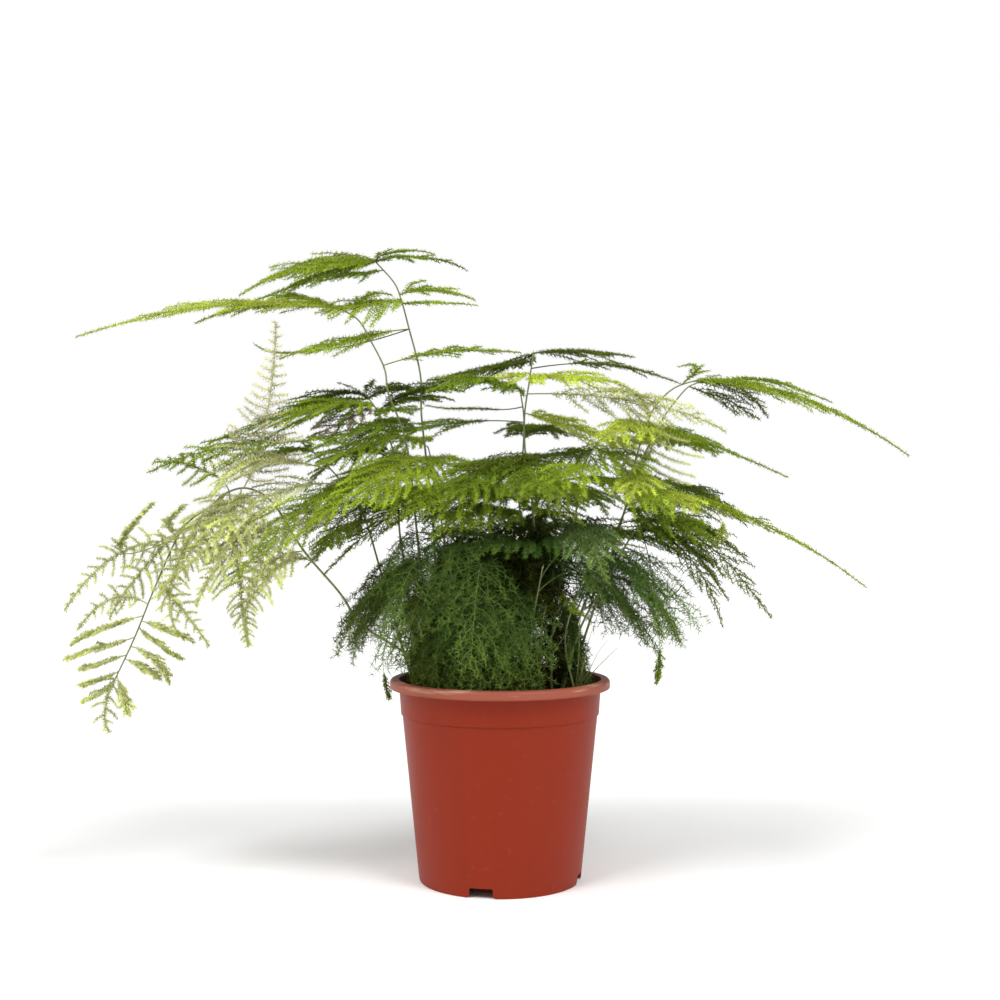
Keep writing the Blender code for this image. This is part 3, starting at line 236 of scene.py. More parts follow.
TALL_STEMS = (
    Stem("stem_tall_left", "young_green", (
        (-40, 2, 141), (-48, 6, 210), (-53, 12, 280), (-58, 16, 325), (-62, 20, 360),
        (-63, 22, 392), (-72, 25, 428), (-78, 26, 450), (-84, 27, 465), (-99, 28, 482),
    ), (
        Spray(9.0, (-148, 12, 477), (-199, -12, 450), 34, Tone.BRIGHT, FRONT_UP, 0.0, Growth.ARM),
        Spray(9.0, (-138, 22, 471), (-190, 4, 448), 28, Tone.BRIGHT, FRONT_UP, 0.04, Growth.ARM),
        Spray(9.0, (-126, -4, 474), (-156, -18, 462), 22, Tone.FRESH, FRONT_UP, 0.04, Growth.ARM),
        Spray(9.0, (-62, 42, 488), (-27, 60, 480), 15, Tone.FRESH, bare=0.03),
        Spray(9.0, (-82, 20, 489), (-52, 30, 488), 13, Tone.FRESH, bare=0.0),
        Spray(8.6, (-117, 0, 467), (-139, -10, 461), 18, Tone.MID, TILTED, 0.1),
        Spray(7.1, (-108, -6, 442), (-141, -14, 436), 34, Tone.BRIGHT, FRONT_UP, 0.02),
        Spray(7.3, (-57, 42, 462), (-22, 55, 456), 28, Tone.BRIGHT, TILTED, 0.02),
        Spray(6.9, (-50, 10, 447), (-18, 4, 444), 9, Tone.BRIGHT, TILTED, 0.02),
        Spray(6.0, (-117, -2, 416), (-168, -14, 401), 24, Tone.BRIGHT, FRONT_UP, 0.16, Growth.ARM),
        Spray(6.0, (-150, 0, 407), (-192, 0, 415), 4, Tone.FRESH, bare=0.45),
        Spray(3.0, (-87, -58, 311), (-150, -110, 262), 44, Tone.BRIGHT, FRONT_UP, 0.04, Growth.OPEN),
        Spray(2.8, (-73, -75, 307), (-107, -95, 288), 38, Tone.BRIGHT, FRONT_UP, 0.1, Growth.OPEN),
        Spray(3.0, (-40, -30, 321), (-20, -50, 312), 28, Tone.FRESH, FRONT_UP, 0.06),
        Spray(2.4, (-69, -26, 295), (-94, -60, 274), 36, Tone.DARK, TILTED),
    )),
    Stem("stem_outer_left", "young_green", (
        (-52, -4, 141), (-60, -6, 230), (-64, -8, 268), (-70, -8, 325), (-77, -8, 352),
        (-86, -8, 375), (-89, -8, 394), (-100, -8, 416), (-109, -8, 431), (-123, -8, 440),
    ), (
        Spray(9.0, (-222, -20, 440), (-319, -30, 416), 22, Tone.LIGHT, FRONT_UP, 0.1, Growth.ARM),
        Spray(9.0, (-186, -8, 442), (-232, -16, 428), 20, Tone.BRIGHT, FRONT_UP, 0.1, Growth.ARM),
        Spray(9.0, (-158, 12, 451), (-178, 24, 455), 30, Tone.BRIGHT, TILTED, 0.06),
        Spray(8.3, (-105, 10, 452), (-86, 24, 455), 14, Tone.BRIGHT, bare=0.05),
        Spray(6.1, (-41, 20, 410), (16, 40, 411), 20, Tone.BRIGHT, TILTED, 0.2),
        Spray(3.1, (-122, 10, 304), (-195, 30, 266), 46, Tone.FRESH, FRONT_UP, 0.05),
        Spray(4.0, (-98, 66, 352), (-130, 130, 318), 38, Tone.MID, TILTED),
        Spray(2.5, (-71, -52, 299), (-80, -92, 276), 40, Tone.FRESH, FRONT_UP, 0.06),
        Spray(3.6, (-109, -36, 330), (-134, -66, 318), 36, Tone.FRESH, FRONT_UP, growth=Growth.OPEN),
        Spray(4.0, (-104, -30, 346), (-138, -60, 330), 26, Tone.MID, TILTED, growth=Growth.OPEN),
    )),
    Stem("stem_left_dark", "old_green", (
        (-62, 8, 141), (-74, 12, 235), (-79, 14, 270), (-82, 15, 322), (-90, 16, 348),
        (-96, 17, 362), (-103, 18, 372),
    ), (
        Spray(6.0, (-147, 4, 366), (-222, -16, 336), 44, Tone.MID, TILTED, 0.04, Growth.OPEN),
        Spray(6.0, (-128, 20, 377), (-166, 14, 362), 40, Tone.DARK, UP, 0.04),
        Spray(5.4, (-128, -30, 364), (-172, -44, 347), 38, Tone.FRESH, TILTED, 0.08, Growth.OPEN),
        Spray(5.6, (-132, -8, 362), (-176, -20, 340), 34, Tone.MID, TILTED, 0.08, Growth.OPEN),
        Spray(5.2, (-80, -6, 362), (-60, -14, 363), 20, Tone.MID, TILTED, 0.0),
        Spray(5.6, (-120, -20, 352), (-146, -26, 340), 22, Tone.DRY, FRONT_UP, 0.1, Growth.OPEN),
        Spray(5.0, (-66, 36, 380), (-30, 54, 381), 32, Tone.DARK, UP, 0.06),
        Spray(6.0, (-86, 40, 382), (-58, 66, 381), 34, Tone.DARK, (0.0, -0.15, 1.0), 0.0),
        Spray(4.8, (-70, 34, 374), (-38, 60, 374), 26, Tone.MID, UP, 0.06),
        Spray(3.0, (-122, 60, 332), (-165, 102, 300), 36, Tone.DARK, TILTED),
        Spray(2.3, (-113, -22, 284), (-136, -52, 248), 38, Tone.DARK, FRONT_UP),
    )),
    Stem("stem_left_low", "young_green", (
        (-64, -8, 141), (-90, -10, 232), (-103, -12, 277), (-113, -13, 297), (-124, -14, 310),
        (-138, -16, 325), (-152, -18, 337),
    ), (
        Spray(6.0, (-205, -26, 334), (-262, -38, 314), 38, Tone.FRESH, FRONT_UP, 0.05, Growth.OPEN),
        Spray(5.2, (-172, 22, 331), (-216, 42, 312), 36, Tone.MID, TILTED),
        Spray(6.0, (-135, -30, 339), (-116, -40, 334), 22, Tone.FRESH, TILTED, 0.05),
        Spray(3.2, (-142, -58, 287), (-190, -95, 236), 38, Tone.FRESH, FRONT_UP, growth=Growth.OPEN),
        Spray(2.0, (-126, 38, 268), (-160, 76, 238), 34, Tone.FRESH, TILTED),
        Spray(4.4, (-187, -44, 321), (-214, -52, 293), 38, Tone.PALE, FRONT_UP, growth=Growth.OPEN),
        Spray(3.6, (-178, -44, 293), (-210, -72, 253), 38, Tone.PALE, FRONT_UP, growth=Growth.OPEN),
        Spray(2.5, (-163, -38, 266), (-185, -62, 224), 34, Tone.PALE, FRONT_UP, growth=Growth.OPEN),
    )),
    Stem("stem_arching_left", "young_green", (
        (-34, -8, 141), (-58, -12, 164), (-79, -16, 180), (-106, -19, 198), (-122, -21, 222),
        (-149, -23, 254), (-171, -25, 289), (-189, -26, 301), (-205, -26, 299),
        (-219, -27, 288), (-240, -27, 271), (-259, -28, 231), (-276, -28, 189), (-291, -28, 157),
    ), (
        Spray(7.3, (-178, -22, 352), (-171, -18, 428), 31, Tone.FADED, SHEER, 0.1, Growth.LACE),
        Spray(8.0, (-224, -34, 316), (-258, -42, 321), 16, Tone.FRESH, (0.0, -0.8, 0.5), 0.3,
              Growth.FEATHER),
        Spray(10.3, (-288, -36, 251), (-325, -40, 211), 15, Tone.PALE, FRONT, 0.08, Growth.FEATHER),
        Spray(10.2, (-284, -40, 254), (-259, -44, 290), 8, Tone.PALE, bare=0.5, growth=Growth.BRUSH),
        Spray(10.2, (-248, -36, 276), (-236, -40, 289), 6, Tone.PALE, bare=0.2, growth=Growth.BRUSH),
        Spray(11.0, (-239, -44, 214), (-216, -50, 185), 13, Tone.PALE, FRONT, 0.1, Growth.FEATHER),
        Spray(11.7, (-248, -40, 195), (-229, -44, 187), 8, Tone.PALE, growth=Growth.BRUSH),
        Spray(11.4, (-292, -36, 218), (-316, -38, 196), 12, Tone.PALE, FRONT, 0.15, Growth.FEATHER),
        Spray(11.6, (-299, -36, 196), (-320, -40, 185), 8, Tone.PALE, growth=Growth.BRUSH),
        Spray(12.0, (-303, -36, 181), (-325, -40, 174), 8, Tone.PALE, growth=Growth.BRUSH),
        Spray(12.4, (-300, -34, 170), (-314, -38, 166), 8, Tone.PALE, growth=Growth.BRUSH),
        Spray(12.8, (-302, -34, 157), (-314, -36, 154), 8, Tone.PALE, growth=Growth.BRUSH),
        Spray(13.0, (-303, -32, 146), (-313, -34, 142), 7, Tone.PALE, growth=Growth.BRUSH),
        Spray(11.8, (-262, -26, 186), (-242, -22, 172), 8, Tone.PALE, growth=Growth.BRUSH),
        Spray(12.2, (-258, -36, 172), (-248, -40, 157), 8, Tone.PALE, growth=Growth.BRUSH),
        Spray(12.5, (-267, -34, 166), (-255, -38, 159), 8, Tone.PALE, growth=Growth.BRUSH),
        Spray(12.9, (-283, -32, 144), (-279, -36, 132), 8, Tone.PALE, growth=Growth.BRUSH),
        Spray(13.0, (-298, -30, 136), (-295, -30, 118), 14, Tone.PALE, (0.2, -1.0, 0.25), 0.0,
              Growth.FEATHER),
        Spray(8.0, (-196, -40, 240), (-187, -44, 185), 25, Tone.PALE, (0.0, -0.9, 0.5), 0.2, Growth.FEATHER),
        Spray(8.2, (-225, -44, 263), (-252, -50, 222), 22, Tone.PALE, (0.0, -0.9, 0.4), 0.06,
              Growth.FEATHER),
        Spray(7.4, (-207, -50, 270), (-236, -56, 240), 24, Tone.PALE, (0.0, -0.8, 0.6), 0.06,
              Growth.FEATHER),
        Spray(9.2, (-244, -44, 232), (-240, -50, 196), 18, Tone.PALE, FRONT, 0.1, Growth.FEATHER),
        Spray(5.0, (-180, -56, 234), (-184, -66, 186), 24, Tone.PALE, (0.0, -0.8, 0.6), 0.1, Growth.FEATHER),
        Spray(5.4, (-188, -42, 264), (-222, -54, 224), 34, Tone.PALE, FRONT_UP, growth=Growth.OPEN),
        Spray(4.7, (-174, 12, 240), (-210, 22, 192), 18, Tone.PALE, (0.0, -0.6, 0.8)),
        Spray(6.4, (-214, -38, 284), (-240, -42, 246), 32, Tone.PALE, FRONT_UP, growth=Growth.OPEN),
        Spray(6.0, (-196, -50, 266), (-223, -60, 216), 26, Tone.PALE, (0.0, -0.8, 0.5),
              growth=Growth.FEATHER),
        Spray(9.6, (-272, -20, 240), (-300, -10, 202), 20, Tone.PALE, (0.0, -0.9, 0.4), 0.1, Growth.FEATHER),
    )),
    Stem("stem_centre_back", "old_green", (
        (18, 14, 141), (21, 18, 190), (19, 20, 238), (16, 22, 280), (15, 24, 303),
        (18, 26, 328), (19, 27, 357), (16, 27, 380),
    ), (
        Spray(7.0, (-17, -38, 382), (-52, -80, 371), 36, Tone.MID, TILTED, 0.06),
        Spray(6.4, (-20, 2, 363), (-60, -12, 366), 5, Tone.MID, bare=0.3),
        Spray(5.9, (-50, 6, 351), (-122, -15, 333), 24, Tone.MID, TILTED, 0.25),
        Spray(5.4, (26, 92, 354), (20, 162, 354), 42, Tone.DARK),
        Spray(4.7, (-8, -64, 309), (-44, -118, 291), 46, Tone.MID, FRONT_UP, 0.08, Growth.OPEN),
        Spray(3.5, (-62, -30, 290), (-131, -42, 237), 40, Tone.DARK, TILTED, 0.08),
        Spray(3.8, (-29, -50, 299), (-70, -90, 280), 42, Tone.FRESH, FRONT_UP, 0.08),
        Spray(3.0, (-18, -44, 284), (-50, -80, 264), 38, Tone.FRESH, FRONT_UP, 0.08),
        Spray(2.2, (24, 60, 274), (-10, 100, 262), 40, Tone.DARK, TILTED, 0.08),
        Spray(2.0, (-24, 50, 268), (-62, 80, 250), 38, Tone.DARK, TILTED, 0.08),
    )),
    Stem("stem_centre_tall", "old_green", (
        (30, -4, 141), (32, -2, 200), (28, 0, 250), (24, 1, 300), (20, 2, 325), (19, 3, 357),
        (23, 4, 386), (26, 6, 407),
    ), (
        Spray(7.0, (62, 2, 408), (101, -8, 403), 32, Tone.DARK, TILTED, 0.02),
        Spray(7.0, (14, 24, 402), (-8, 40, 398), 28, Tone.DARK, TILTED, 0.02),
        Spray(6.7, (-22, 12, 393), (-74, 16, 377), 38, Tone.DARK, TILTED, 0.02),
        Spray(6.4, (86, 46, 402), (147, 62, 388), 18, Tone.DARK, TILTED, 0.3),
        Spray(6.1, (50, -38, 385), (86, -62, 379), 34, Tone.YELLOW, TILTED, 0.02),
        Spray(6.2, (3, -14, 387), (-20, -24, 382), 20, Tone.YELLOW, TILTED, 0.02),
        Spray(5.6, (105, -26, 367), (168, -36, 345), 30, Tone.PALE, (0.0, -0.9, 0.8), 0.14, Growth.OPEN),
        Spray(5.1, (59, 34, 351), (110, 58, 336), 42, Tone.LIGHT, FRONT_UP, 0.06),
        Spray(4.0, (22, -76, 312), (34, -160, 293), 46, Tone.MID, TILTED, 0.1, Growth.OPEN),
        Spray(3.2, (62, 62, 303), (92, 124, 280), 42, Tone.MID, TILTED),
        Spray(3.9, (-9, -50, 316), (-50, -92, 300), 42, Tone.MID, FRONT_UP, 0.06),
        Spray(2.9, (34, -48, 296), (58, -92, 276), 40, Tone.MID, FRONT_UP),
        Spray(2.3, (62, -26, 272), (92, -58, 252), 38, Tone.DARK, TILTED),
        Spray(2.6, (36, 50, 281), (13, 90, 262), 42, Tone.DARK, TILTED),
        Spray(1.9, (10, -40, 262), (-18, -84, 250), 38, Tone.BLUE, FRONT_UP),
        Spray(2.0, (50, -44, 266), (66, -88, 250), 38, Tone.BLUE, FRONT_UP),
    )),
    Stem("stem_centre_right", "young_green", (
        (40, -9, 141), (39, -9, 178), (42, -9, 200), (49, -9, 244), (57, -9, 270),
        (61, -9, 306), (70, -8, 330), (84, -4, 345),
    ), (
        Spray(7.0, (141, 5, 343), (226, 20, 311), 22, Tone.FRESH, (0.0, -0.4, 1.0), 0.04, Growth.ARM),
        Spray(6.6, (100, -34, 337), (114, -50, 334), 18, Tone.LIGHT, FRONT_UP, 0.05),
        Spray(6.2, (90, -36, 324), (106, -70, 312), 36, Tone.FRESH, FRONT_UP, 0.05, Growth.OPEN),
        Spray(6.1, (16, -42, 323), (-32, -72, 317), 38, Tone.DARK, TILTED, 0.05),
        Spray(5.1, (96, -56, 302), (122, -102, 280), 40, Tone.FRESH, FRONT_UP, growth=Growth.OPEN),
        Spray(5.6, (50, -70, 313), (30, -118, 302), 38, Tone.BRIGHT, FRONT_UP, growth=Growth.OPEN),
        Spray(4.8, (40, -60, 302), (12, -100, 292), 36, Tone.BRIGHT, FRONT_UP),
        Spray(3.2, (100, -4, 266), (148, 10, 246), 38, Tone.MID, TILTED),
        Spray(4.0, (64, -66, 268), (74, -124, 236), 36, Tone.MIST, FRONT_UP),
        Spray(2.6, (52, -34, 214), (66, -50, 206), 10, Tone.BRIGHT, TILTED, 0.2),
    )),
    Stem("stem_right_tall", "young_green", (
        (47, 4, 141), (56, 6, 183), (70, 7, 222), (88, 8, 262), (99, 8, 289), (104, 9, 316),
        (113, 9, 347), (121, 10, 365), (136, 10, 380), (156, 10, 387),
    ), (
        Spray(9.0, (240, 15, 371), (322, 20, 328), 22, Tone.BRIGHT, FRONT_UP, 0.0, Growth.ARM),
        Spray(8.7, (214, 40, 388), (268, 50, 372), 16, Tone.FRESH, TILTED, 0.3),
        Spray(8.3, (152, -10, 394), (136, -22, 394), 10, Tone.BRIGHT, bare=0.1),
        Spray(4.3, (182, -10, 283), (280, -14, 226), 18, Tone.BRIGHT, FRONT_UP, 0.05, Growth.ARM),
        Spray(4.3, (160, -12, 286), (167, -16, 262), 6, Tone.LIGHT, SHEER, 0.76, Growth.BRUSH),
        Spray(4.3, (146, -14, 287), (150, -18, 266), 5, Tone.LIGHT, SHEER, 0.76, Growth.BRUSH),
        Spray(3.4, (128, -20, 276), (164, -30, 260), 34, Tone.MID, FRONT_UP),
        Spray(5.0, (102, -54, 306), (90, -98, 292), 34, Tone.LIGHT, FRONT_UP, 0.05, Growth.OPEN),
        Spray(6.2, (98, -46, 348), (72, -84, 334), 38, Tone.LIGHT, FRONT_UP, 0.05),
        Spray(4.4, (110, -36, 325), (122, -44, 350), 31, Tone.PALE, (0.0, -1.0, 0.2), 0.06, Growth.COMB),
        Spray(6.4, (104, -20, 373), (74, -36, 374), 28, Tone.PALE, FRONT_UP, 0.1, Growth.OPEN),
        Spray(5.6, (132, 72, 346), (150, 144, 347), 42, Tone.BRIGHT),
        Spray(4.4, (124, -60, 294), (140, -96, 284), 32, Tone.LIGHT, FRONT_UP, growth=Growth.OPEN),
        Spray(3.7, (120, -34, 284), (161, -60, 257), 38, Tone.MID, FRONT_UP),
    )),
    Stem("stem_right_back", "old_green", (
        (52, 14, 141), (72, 21, 200), (90, 25, 255), (106, 27, 307), (120, 28, 340),
        (129, 29, 357), (147, 30, 380), (157, 31, 386),
    ), (
        Spray(7.0, (192, 33, 381), (214, 36, 359), 26, Tone.DARK, FRONT_UP, 0.05),
        Spray(6.3, (180, 22, 371), (203, 12, 356), 20, Tone.DARK, FRONT_UP, 0.1),
        Spray(5.0, (152, 82, 344), (192, 134, 334), 36, Tone.MID),
        Spray(3.0, (150, 60, 303), (205, 78, 275), 38, Tone.MID, TILTED),
        Spray(2.6, (146, 6, 296), (190, 0, 274), 36, Tone.DARK, FRONT_UP),
    )),
    Stem("stem_right_low", "old_green", (
        (47, -14, 141), (57, -15, 182), (67, -15, 206), (85, -15, 237), (95, -15, 256),
        (104, -15, 269), (116, -15, 278),
    ), (
        Spray(6.0, (160, -26, 256), (203, -36, 205), 34, Tone.DARK, FRONT_UP, 0.05),
        Spray(5.6, (152, 2, 273), (192, 6, 246), 26, Tone.DARK, TILTED, 0.05),
        Spray(5.3, (142, -42, 249), (164, -54, 200), 24, Tone.DARK, (0.2, -0.5, 1.0)),
        Spray(5.3, (118, -40, 210), (116, -50, 157), 5, Tone.MID, bare=0.76, growth=Growth.BRUSH),
        Spray(4.7, (142, 30, 262), (184, 46, 212), 34, Tone.DARK, TILTED),
        Spray(4.0, (112, -60, 240), (126, -88, 196), 34, Tone.BLUE, (0.2, -0.6, 1.0),
              growth=Growth.BUSH),
    )),
)

BACK_STEMS = (
    Stem("stem_back_left", "young_green", (
        (-28, 34, 141), (-36, 52, 200), (-46, 70, 260), (-54, 84, 310), (-60, 92, 336),
    ), (
        Spray(4.0, (-82, 130, 344), (-102, 166, 314), 40, Tone.FRESH),
        Spray(3.2, (-110, 98, 318), (-162, 128, 282), 36, Tone.MID),
        Spray(2.3, (-44, 118, 280), (-56, 160, 250), 38, Tone.MID),
        Spray(2.8, (-6, 104, 302), (36, 132, 276), 34, Tone.MID),
        Spray(1.0, (-88, 56, 186), (-89, 42, 133), 5, Tone.FRESH, bare=0.9, growth=Growth.BRUSH),
    )),
    Stem("stem_back_right", "young_green", (
        (14, 40, 141), (22, 60, 200), (34, 80, 258), (44, 94, 304), (52, 104, 326),
    ), (
        Spray(4.0, (74, 128, 334), (92, 156, 306), 40, Tone.FRESH),
        Spray(3.1, (104, 108, 306), (158, 134, 270), 36, Tone.MID),
        Spray(2.2, (40, 122, 268), (50, 156, 238), 36, Tone.MID),
    )),
)


@dataclass(frozen=True)
class LowStem:
    """A short arching stem of the lower bush, set out by its heading in degrees from +X.

    Its shoots are bare young stems beside it, given by their tips.
    """

    heading: float
    base: Pair
    rise: float
    reach: float
    tip_height: float
    slot: str = "blue_green"
    tone: Tone = Tone.BLUE
    shoots: tuple[Point, ...] = ()

    def place(self, turn: float, distance: float, height: float) -> Point:
        """A point at a distance from the spot halfway between the pot's axis and the base.

        Args:
            turn: Its bearing, as a turn away from the stem's own heading, in degrees.
            distance: The distance.
            height: The point's height.

        Returns:
            The point.
        """
        angle = math.radians(self.heading + turn)
        x = self.base[0] * 0.5 + distance * math.cos(angle)
        y = self.base[1] * 0.5 + distance * math.sin(angle)
        return (x, y, height)


LOW_STEMS = (
    LowStem(-99.0, (-8, -30), 236, 106, 176),
    LowStem(-128.0, (-30, -24), 246, 112, 176),
    LowStem(-160.0, (-54, -26), 226, 100, 178, tone=Tone.SHADED_LEFT),
    LowStem(164.0, (-60, 24), 222, 100, 184, tone=Tone.SHADED_LEFT),
    LowStem(
        -58.0, (24, -34), 242, 108, 193,
        shoots=((34, -54, 214), (44, -58, 206), (16, -52, 210), (50, -56, 196)),
    ),
    LowStem(
        -26.0, (58, -26), 236, 114, 190,
        shoots=((80, -46, 188), (70, -48, 200), (60, -50, 208), (88, -36, 182), (64, -56, 178)),
    ),
    LowStem(8.0, (66, 12), 230, 110, 182),
    LowStem(52.0, (44, 36), 232, 110, 182, "old_green"),
    LowStem(96.0, (-6, 46), 236, 112, 180, "old_green", Tone.MIST),
    LowStem(136.0, (-44, 38), 232, 108, 182, "old_green"),
)


@dataclass(frozen=True)
class Plume:
    """One plume of a low stem: where it leaves, its turn, its size, and its heights."""

    at: float
    turn: float
    share: float
    via_rise: float
    tip_rise: float
    tone: Tone | None = None


@dataclass(frozen=True)
class Fringe:
    """A row of plumes that hang inside the pot's rim, each from a low stem.

    The point that a plume passes and its tip are each a distance from the pot's axis and a height
    above the floor.
    """

    turns: tuple[float, ...]
    leaves: float
    via: Pair
    tip: Pair
    half_width: float
    tone: Tone | None = None


@dataclass(frozen=True)
class BushLayout:
    """How the plumes of a low stem fan out, and the fringes that hang to the pot's rim.

    Between the two bearings of the opening nothing hangs, so the soil shows there, and only the inner
    plumes, painted near-black green as shade, grow between those of the hollow. The pairs whose names
    end in spread are the ends of a random share or shift.
    """

    half_width: float = 32.0
    least_share: float = 0.7
    via_share: float = 0.66
    soil_height: float = 141.0
    middle_share: float = 0.20
    top_share: float = 0.34
    plume_lift: float = 0.8
    fringe_lift: float = 0.6
    shoot_lean: float = 0.38
    shoot_leaves: float = 0.05
    opening: Pair = (-60.0, -16.0)
    hollow: Pair = (-98.0, -44.0)
    turn_spread: Pair = (-4.0, 4.0)
    via_spread: Pair = (0.85, 1.08)
    tip_spread: Pair = (0.9, 1.0)
    via_rise_spread: Pair = (-14.0, 10.0)
    tip_rise_spread: Pair = (0.0, 9.0)
    leaves_spread: Pair = (-0.2, 0.3)
    seed: int = 400
    plumes: tuple[Plume, ...] = (
        Plume(2.0, 0.0, 1.0, 4, 0),
        Plume(1.65, 38.0, 0.88, -4, 0),
        Plume(1.3, -38.0, 0.88, -14, -2),
        Plume(2.0, -20.0, 0.78, 22, 48),
        Plume(1.85, 22.0, 0.72, 12, 26),
        Plume(2.0, 100.0, 0.40, 22, 50, Tone.INNER_SHADE),
        Plume(1.6, -110.0, 0.40, 4, 20, Tone.INNER_SHADE),
        Plume(1.9, 180.0, 0.36, -8, -4, Tone.INNER_SHADE),
        Plume(2.0, -140.0, 0.30, 0, 10, Tone.INNER_SHADE),
    )
    fringes: tuple[Fringe, ...] = (
        Fringe((-22.0, -7.0, 8.0, 22.0), 1.15, (60.0, 206.0), (71.0, 149.0), 28.0),
        Fringe((-12.0, 10.0), 0.8, (46.0, 188.0), (60.0, 146.0), 26.0, Tone.INNER_SHADE),
    )

    @staticmethod
    def growth(tone: Tone) -> Growth:
        """How a plume of a tone grows: the inner ones, painted dark as shade, are coarser."""
        return Growth.THICKET if tone is Tone.INNER_SHADE else Growth.BUSH

    def fan(self, low: LowStem) -> list[Spray]:
        """The plumes that fan out from a low stem.

        Args:
            low: How the stem stands.

        Returns:
            The sprays.
        """
        sprays = []
        for plume in self.plumes:
            bearing = low.heading + plume.turn
            if plume.tone is None and self.hollow[0] < bearing < self.hollow[1]:
                continue
            size = plume.share * low.reach
            via = low.place(plume.turn, self.via_share * size, low.rise + plume.via_rise)
            tip = low.place(plume.turn, size, low.tip_height + plume.tip_rise)
            outward = math.radians(bearing)
            facing = (math.cos(outward), math.sin(outward), self.plume_lift)
            width = self.half_width * max(plume.share, self.least_share)
            tone = plume.tone or low.tone
            sprays.append(Spray(plume.at, via, tip, width, tone, facing, growth=self.growth(tone)))
        return sprays

    def hanging(self, low: LowStem, draw: random.Random) -> list[Spray]:
        """The plumes of a low stem that hang inside the pot's rim.

        Args:
            low: How the stem stands.
            draw: The source of their differences.

        Returns:
            The sprays.
        """
        sprays = []
        for fringe in self.fringes:
            for turn in fringe.turns:
                bearing = low.heading + turn + draw.uniform(*self.turn_spread)
                if self.opening[0] < bearing < self.opening[1]:
                    continue
                angle = math.radians(bearing)
                outward = Vector((math.cos(angle), math.sin(angle), 0.0))
                via = outward * fringe.via[0] * draw.uniform(*self.via_spread)
                tip = outward * fringe.tip[0] * draw.uniform(*self.tip_spread)
                via.z = fringe.via[1] + draw.uniform(*self.via_rise_spread)
                tip.z = fringe.tip[1] + draw.uniform(*self.tip_rise_spread)
                leaves = fringe.leaves + draw.uniform(*self.leaves_spread)
                tone = fringe.tone or low.tone
                facing = (outward.x, outward.y, self.fringe_lift)
                ends = (tuple(via), tuple(tip))
                spray = Spray(leaves, *ends, fringe.half_width, tone, facing, growth=self.growth(tone))
                sprays.append(spray)
        return sprays

    def shoot(self, low: LowStem, tip: Point) -> Spray:
        """A bare young stem beside a low stem.

        Args:
            low: How the low stem stands.
            tip: The shoot's tip.

        Returns:
            The shoot, as a spray without branchlets.
        """
        still, lean = 1 - self.shoot_lean, self.shoot_lean
        x, y = (still * foot + lean * end for foot, end in zip(low.base, tip))
        via = (x, y, 0.5 * (self.soil_height + tip[2]))
        return Spray(self.shoot_leaves, via, tip, 0.0, Tone.RIB)

    def stem(self, number: int, low: LowStem) -> Stem:
        """A short stem with its plumes.

        Args:
            number: The stem's place in the bush, from 1.
            low: How the stem stands.

        Returns:
            The stem with its route and its sprays.
        """
        route = (
            (*low.base, self.soil_height),
            low.place(0.0, self.middle_share * low.reach, 0.5 * (low.rise + self.soil_height)),
            low.place(0.0, self.top_share * low.reach, low.rise),
        )
        sprays = self.fan(low)
        sprays += self.hanging(low, random.Random(self.seed + number))
        sprays += [self.shoot(low, tip) for tip in low.shoots]
        return Stem(f"stem_low_{number:02d}", low.slot, route, tuple(sprays))


